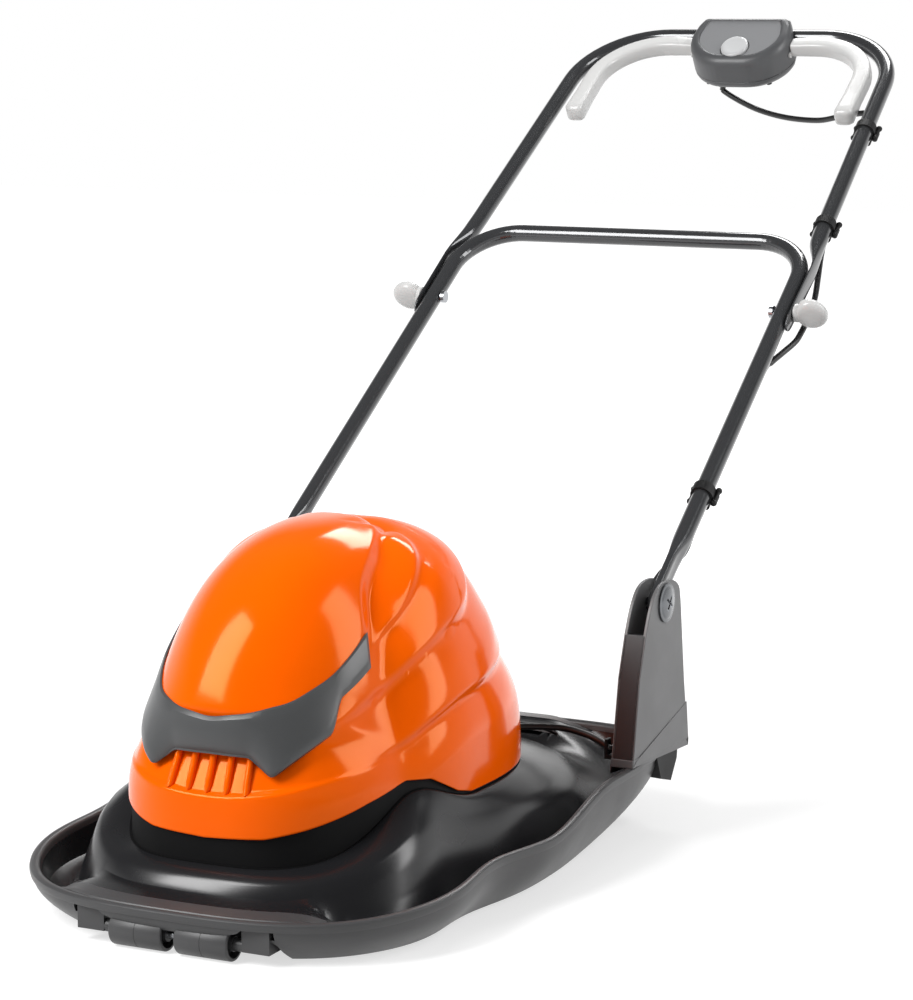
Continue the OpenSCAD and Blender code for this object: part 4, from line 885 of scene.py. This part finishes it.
def box_planes():
    """Outward normals and distances of the box's outline, a convex form."""
    mid = -BOX_NOSE + NOSE_R
    arc = np.radians(np.linspace(0, -90, 13))
    right = [(BOX_HALF - NOSE_R + NOSE_R * math.cos(a), mid + NOSE_R * math.sin(a)) for a in arc]
    half = [(REAR_HALF, BOX_BACK), (BOX_HALF - 3, -4)] + right
    pts = np.array(half + [(-x, y) for x, y in half[::-1]])
    edge = np.roll(pts, -1, 0) - pts
    normal = np.column_stack([edge[:, 1], -edge[:, 0]])
    size = np.linalg.norm(normal, axis=1)
    keep = size > 1e-6
    normal = normal[keep] / size[keep][:, None]
    distance = (normal * pts[keep]).sum(1)
    flip = np.sign(distance - normal @ np.array([0, -30.0]))
    return normal * flip[:, None], distance * flip


BOX_NORMAL, BOX_DISTANCE = box_planes()


def box_ring(inset, n, rear=None):
    """Ring of the box's outline drawn in by inset, at height n; rear gives the rear edge its own inset."""
    a = np.linspace(0, 2 * math.pi, BOX_SIDES, endpoint=False)
    u = np.column_stack([np.cos(a), np.sin(a)])
    centre = np.array([0, BUTTON_S])
    room = BOX_DISTANCE - inset - BOX_NORMAL @ centre
    if rear is not None:
        room = np.where(BOX_NORMAL[:, 1] > 0.9, room + inset - rear, room)
    facing = u @ BOX_NORMAL.T
    reach = np.where(facing > 1e-6, room / np.maximum(facing, 1e-6), 1e9).min(1)
    p = centre + reach[:, None] * u
    drop = 0.4 * np.maximum(0, p[:, 1] - 4) * (n > 7)
    return np.column_stack([p, n - drop])


def leaning_places(points):
    """Places on the upper bar for the box's top, which rises towards its rear edge."""
    p = np.array(points, float)
    p[:, 2] += 0.14 * (p[:, 1] + BOX_NOSE) * smooth(-8, 12, p[:, 2])
    return bar_places(p)


# Rings of the lid and of the tray under it, as (inset from the outline, height)
LID_RISE = [(6, -17.6), (0.5, -17.6), (0, -17), (0, -6), (0, 3), (0.7, 7), (2.4, 10.4), (5.2, 12.8),
            (8.6, 13.8)]
TRAY_LIP = [(6, -18), (0.9, -18), (0.4, -18.5)]
TRAY_RISE = [(0.4, -21), (1.8, -24.6), (4.4, -27.6), (8, -30), (13, -31.6), (18, -32)]
# Rings of the lid's sunk face, as (inset, height, inset at the rear)
FACE_RISE = [(11.8, 14, 10), (12.8, 13.6, 10.5), (13.4, 12.4, 11)]
BUTTON_TURNED = [(4, 3), (6, 3), (6.2, 17), (13.4, BUTTON_R), (15, 17.2), (16, 16.3), (16.6, 14.6),
                 (16.4, 12), (16.1, 8), (16, 3)]
# Box screws as (across, along)
BOX_SCREWS = [(-46, -28), (46, -28), (-40, -56), (40, -56)]


def make_box_lid():
    """Lid with a rounded edge, a lighter sunk face and a well for the button."""
    lid = Build()
    rings = [box_ring(inset, n) for inset, n in LID_RISE]
    rings += [box_ring(inset, n, rear) for inset, n, rear in FACE_RISE]
    first_face = (len(rings) - 1) * BOX_SIDES
    well, inner = circle(BUTTON_R + 1.3, BOX_SIDES), circle(BUTTON_R + 0.6, BOX_SIDES)
    for r, n in ((well, 12.4), (well, 12.2), (inner, 11.2), (inner, 3)):
        rings.append(np.column_stack([r[:, 0], r[:, 1] + BUTTON_S, np.full(BOX_SIDES, n)]))
    lid.rings(rings, cap=False)
    obj = piece("switch_box_top", lid.verts, lid.faces, box_abs, "upper_handle", ["switch_box_lid"],
                sharp=30, place=leaning_places)
    obj.data.materials.append(face_abs)
    for face in list(obj.data.polygons)[first_face:first_face + BOX_SIDES]:
        face.material_index = 1


def make_box_tray():
    """Tray under the lid, with its screws sunk flush."""
    tray = Build()
    tray.rings([box_ring(inset, n) for inset, n in TRAY_LIP + TRAY_RISE])
    piece("switch_box_tray", tray.verts, tray.faces, box_abs, "upper_handle", ["switch_box_base"],
          sharp=30, place=bar_places)
    screws = Build()
    for x, s in BOX_SCREWS:
        inset = (BOX_DISTANCE - BOX_NORMAL @ np.array([x, s])).min()
        low = float(lookup(inset, TRAY_RISE))
        turned = [(-14, 1.9), (low + 2, 1.9), (low + 2, 3.6), (low - 0.2, 3.6), (low - 0.6, 2.8)]
        screws.lathe((x, s, 0), turned, axis="z", sides=24)
    piece("box_screw_heads", screws.verts, screws.faces, black_steel, "upper_handle", ["box_screws"],
          sharp=30, place=bar_places)


def make_button():
    button = Build()
    button.lathe((0, BUTTON_S, 0), BUTTON_TURNED, axis="z", sides=64)
    piece("lock_button_cap", button.verts, button.faces, button_abs, "lock_button", ["lock_button"],
          sharp=40, place=leaning_places)


make_box_lid()
make_box_tray()
make_button()


def make_lever(name, sign):
    """Bent bar that follows the handle's corner, with a square flared tip."""
    gap, arm, in_bend = 24.0, 68.0, BAR_BEND - 30
    corner_x = BAR_X - gap - 8
    turn_x, turn_s = corner_x - in_bend, -gap - in_bend
    points = [(66.3, -gap), (72, -gap), (84, -gap)]
    points += [(84 + (turn_x - 84) * k / 3, -gap) for k in (1, 2)]
    for a in np.radians(np.linspace(90, 0, 15)):
        points.append((turn_x + in_bend * math.cos(a), turn_s + in_bend * math.sin(a)))
    points += [(corner_x, turn_s - arm * k / 8) for k in range(1, 9)]
    points += [(corner_x, turn_s - arm - 4), (corner_x, turn_s - arm - 6.5)]
    path = np.array([(x, s, 0.0) for x, s in points])
    count = len(path)

    def section(i):
        hub = max(0.0, 1 - i / 3)
        tip = max(0.0, (i - count + 7) / 7)
        o = oval(11 - 1.5 * hub + 1.6 * tip, 10 - hub + 2.4 * tip, 4.2, 36) + np.array([-4.5 + 2 * hub, 0])
        if i >= count - 2:
            o *= (0.86, 0.5)[i - count + 2]
        return o

    build = Build()
    build.sweep(path, section)
    build.lathe((0, -32, -4), [(58, 4), (66.4, 4)], sides=32)
    if sign < 0:
        build = build.mirrored()
    piece(name + "_grip", build.verts, build.faces, white_abs, name, [name], sharp=42,
          place=bar_places)


make_lever("left_lever", -1)
make_lever("right_lever", 1)


# Motor lead: clipped along the handle, then free in a loop up to the switch box
LEAD_LOW = -(TUBE_R + LEAD_R + 0.3)
BESIDE_X, BESIDE_N = BRACKET_IN - LEAD_R - 1.5, -13.0


def lower_x(s):
    return PIVOT_X - s * TAPER


def upper_x(s):
    return UPPER_X - (s - ROUND_S) * (UPPER_X - BAR_X) / (BAR_S - ROUND_S)


DECK_ROUTE = [
    (94.2, 486.8, 112), (101.2, 495.8, 112), (113, 505.5, 112), (133, 514, 112), (154, 520, 111),
    (180, 520, 106), (198, 514, 101), (206, 510, 98), (BESIDE_X, 518, 99), (BESIDE_X, 526, 110),
    (BESIDE_X, 532, 125), (BESIDE_X, 541, 150), (BESIDE_X, 551, 178), (BESIDE_X, 561, 200),
    (BESIDE_X, 571, 215), (BESIDE_X, 583.8, 227.5),
]
LOWER_ROUTE = [
    (BESIDE_X, 0.5, BESIDE_N), (BESIDE_X, 22, BESIDE_N), (BESIDE_X, 40, BESIDE_N),
    (BESIDE_X + 4, 60, BESIDE_N), (lower_x(86), 86, LEAD_LOW), (lower_x(120), 120, LEAD_LOW),
    (lower_x(166), 166, LEAD_LOW), (lower_x(270), 270, LEAD_LOW), (lower_x(380), 380, LEAD_LOW),
    (lower_x(400) + 3, 400, LEAD_LOW - 3), (lower_x(420) + 9, 422, LEAD_LOW - 7),
    (STRAP_X + 6, 446, LEAD_LOW - 10), (STRAP_X + 8, KNOB_S - 1, LEAD_LOW - 10),
]
UPPER_ROUTE = [
    (STRAP_X + 8, 0, LEAD_LOW - 10), (STRAP_X + 8, 18, LEAD_LOW - 10), (STRAP_X + 7, 50, LEAD_LOW - 7),
    (STRAP_X + 1, 85, LEAD_LOW - 4), (upper_x(120) + 3, 120, LEAD_LOW - 1.5), (upper_x(146), 146, LEAD_LOW),
    (upper_x(160), 160, LEAD_LOW), (upper_x(260), 260, LEAD_LOW), (upper_x(350), 350, LEAD_LOW),
    (upper_x(390), 390, LEAD_LOW),
]
GLAND_X, GLAND_S = -26, BAR_S - 50
LOOP_ROUTE = [
    (upper_x(390), 390.5, LEAD_LOW), (204, 403, LEAD_LOW - 1), (190, 411, LEAD_LOW - 5),
    (168, 415, LEAD_LOW - 11), (148, 419, LEAD_LOW - 18), (123, 428, LEAD_LOW - 29),
    (89, 442, LEAD_LOW - 38), (56, 456, LEAD_LOW - 43), (23, 471, LEAD_LOW - 44), (-6, 485, LEAD_LOW - 40),
    (GLAND_X, GLAND_S, -47), (GLAND_X, GLAND_S, -42), (GLAND_X, GLAND_S, -38.1),
]


def make_lead(name, route, place, body):
    """Round sheath along a route; gives the piece and its centre line."""
    build = Build()
    line = spline(route, 5)
    build.sweep(line, circle(LEAD_R, 14), up=(0.1, 0.3, 1))
    obj = piece(name + "_sheath", build.verts, build.faces, pvc, body, [name], sharp=60,
                place=place)
    return obj, (np.array(place(line)) - np.array([0, Y_MID, 0])) * MM


make_lead("deck_lead", DECK_ROUTE, flat_places, "hood_body")
make_lead("lower_lead", LOWER_ROUTE, lower_places, "lower_handle")
make_lead("upper_lead", UPPER_ROUTE, upper_places, "upper_handle")
loop, path = make_lead("lead_loop", LOOP_ROUTE, upper_places, "upper_handle")


# Ball-ended lobes that lock each lead clip
def make_clip_lobes(name, spots, place, body):
    build = Build()
    for x, s in spots:
        for k in (-1, 1):
            centre = np.array([x + k * 13.2, s - 7, -6.0])
            stem = [centre, centre + (0, 4, 0), centre + (0, 9, 0.5), centre + (k * 0.8, 14, 1.5)]
            build.sweep(stem, circle(2.6, 14))
            ball = [(-3.6 * math.cos(a), 3.7 * math.sin(a)) for a in np.linspace(0.15, math.pi - 0.15, 9)]
            build.lathe(centre + np.array([k * 0.8, 15.5, 1.6]), ball, axis="y", sides=18)
            build.lathe(centre + np.array([0, -1.5, 0]), ball, axis="y", sides=18)
    piece(name, build.verts, build.faces, rubber, body, (), sharp=50, place=place)


make_clip_lobes("lower_clip_lobes", [(lower_x(166), 166)], lower_places, "lower_handle")
make_clip_lobes("upper_clip_lobes", [(upper_x(s), s) for s in (160, 350)], upper_places, "upper_handle")


# Camera at the photograph's viewing angle
def make_camera():
    data = bpy.data.cameras.new("camera")
    data.lens = 110.62
    data.clip_start, data.clip_end = 0.1, 50
    cam = bpy.data.objects.new("camera", data)
    bpy.context.scene.collection.objects.link(cam)
    az, el = math.radians(26.0), math.radians(9.17)
    back = Vector((math.sin(az) * math.cos(el), -math.cos(az) * math.cos(el), math.sin(el)))
    cam.location = (1.3883, -2.9837, 0.8381)
    cam.rotation_euler = (-back).to_track_quat("-Z", "Y").to_euler()
    bpy.context.scene.camera = cam


make_camera()


# Plain pale floor, and studio light from large soft boxes
def combine(tree, operation, *values):
    """Output of a maths node over its values."""
    return add(tree, "ShaderNodeMath", dict(enumerate(values)), operation=operation).outputs[0]


def ramp(tree, value, start, end, low, high):
    """Output that runs from low to high while a value runs from start to end."""
    limits = {"Value": value, "From Min": start, "From Max": end, "To Min": low, "To Max": high}
    return add(tree, "ShaderNodeMapRange", limits).outputs["Result"]


def make_floor():
    """Pale floor that fades to white away from the object and keeps its shadow."""
    mesh = bpy.data.meshes.new("floor")
    mesh.from_pydata([(-9, -9, 0), (9, -9, 0), (9, 9, 0), (-9, 9, 0)], [], [(0, 1, 2, 3)])
    floor = bpy.data.objects.new("floor", mesh)
    bpy.context.scene.collection.objects.link(floor)
    mat = bpy.data.materials.new("floor_pale")
    mat.use_nodes = True
    tree = mat.node_tree
    tree.nodes.clear()
    rays = add(tree, "ShaderNodeLightPath").outputs
    seen = combine(tree, "MAXIMUM", rays["Is Camera Ray"], rays["Is Glossy Ray"])
    clear = combine(tree, "MAXIMUM", seen, rays["Is Transmission Ray"])
    where = add(tree, "ShaderNodeTexCoord").outputs["Object"]
    far = add(tree, "ShaderNodeVectorMath", {0: where}, operation="LENGTH")
    level = ramp(tree, far.outputs["Value"], 0.55, 1.35, 0.57, 1.0)
    # Reflections see the floor dim where it lies in front of the picture, as in a dark studio
    depth = add(tree, "ShaderNodeSeparateXYZ", {0: where}).outputs["Y"]
    dim = combine(tree, "MAXIMUM", ramp(tree, depth, -1.3, -0.75, 0.12, 1.0), rays["Is Camera Ray"])
    glow = combine(tree, "MULTIPLY", combine(tree, "MULTIPLY", clear, dim), level)
    paint = add(tree, "ShaderNodeBsdfDiffuse", {"Color": linear("#B4B4B4")})
    light = add(tree, "ShaderNodeEmission", {"Color": (1, 1, 1, 1), "Strength": glow})
    both = add(tree, "ShaderNodeAddShader", {0: paint.outputs[0], 1: light.outputs[0]})
    add(tree, "ShaderNodeOutputMaterial", {"Surface": both.outputs[0]})
    mesh.materials.append(mat)


def make_light(name, reach, turn_deg, rise_deg, width, height, power):
    """Soft box at a turn from the front and a rise, facing the cover."""
    target = Vector((0, -0.4, 0.25))
    az, el = math.radians(turn_deg), math.radians(rise_deg)
    way = Vector((math.sin(az) * math.cos(el), -math.cos(az) * math.cos(el), math.sin(el)))
    data = bpy.data.lights.new(name, "AREA")
    data.shape = "RECTANGLE"
    data.size, data.size_y, data.energy = width, height, power
    lamp = bpy.data.objects.new(name, data)
    lamp.location = target + way * reach
    lamp.rotation_euler = (-way).to_track_quat("-Z", "Y").to_euler()
    bpy.context.scene.collection.objects.link(lamp)


def make_world():
    """White to the camera, a weak even fill to the object, and a backdrop in reflections."""
    world = bpy.data.worlds.new("studio")
    bpy.context.scene.world = world
    world.use_nodes = True
    tree = world.node_tree
    tree.nodes.clear()
    rays = add(tree, "ShaderNodeLightPath").outputs
    seen = combine(tree, "MAXIMUM", rays["Is Glossy Ray"], rays["Is Transmission Ray"])
    # Reflections show a white backdrop behind the object, and a dim studio above and in front
    way = add(tree, "ShaderNodeTexCoord").outputs["Generated"]
    split = add(tree, "ShaderNodeSeparateXYZ", {0: way}).outputs
    backdrop = ramp(tree, combine(tree, "MULTIPLY_ADD", split["Y"], -0.15, split["Z"]), 0.1, 0.42, 1.0, 0.1)
    mirrored = add(tree, "ShaderNodeMix", {0: seen, 2: 0.36, 3: backdrop})
    level = add(tree, "ShaderNodeMix", {0: rays["Is Camera Ray"], 2: mirrored.outputs[0], 3: 1.0})
    sky = add(tree, "ShaderNodeBackground", {"Color": (1, 1, 1, 1), "Strength": level.outputs[0]})
    add(tree, "ShaderNodeOutputWorld", {"Surface": sky.outputs[0]})


make_floor()
make_world()
LAMP_REACH = 2.7
make_light("soft_box_left", LAMP_REACH, -34, 40, 1.0, 1.9, 84)
make_light("soft_box_rear", LAMP_REACH, 182, 42, 1.1, 0.55, 22)
make_light("soft_box_right", LAMP_REACH, 110, 30, 0.8, 1.9, 34)
bpy.context.scene.view_settings.view_transform = "Standard"
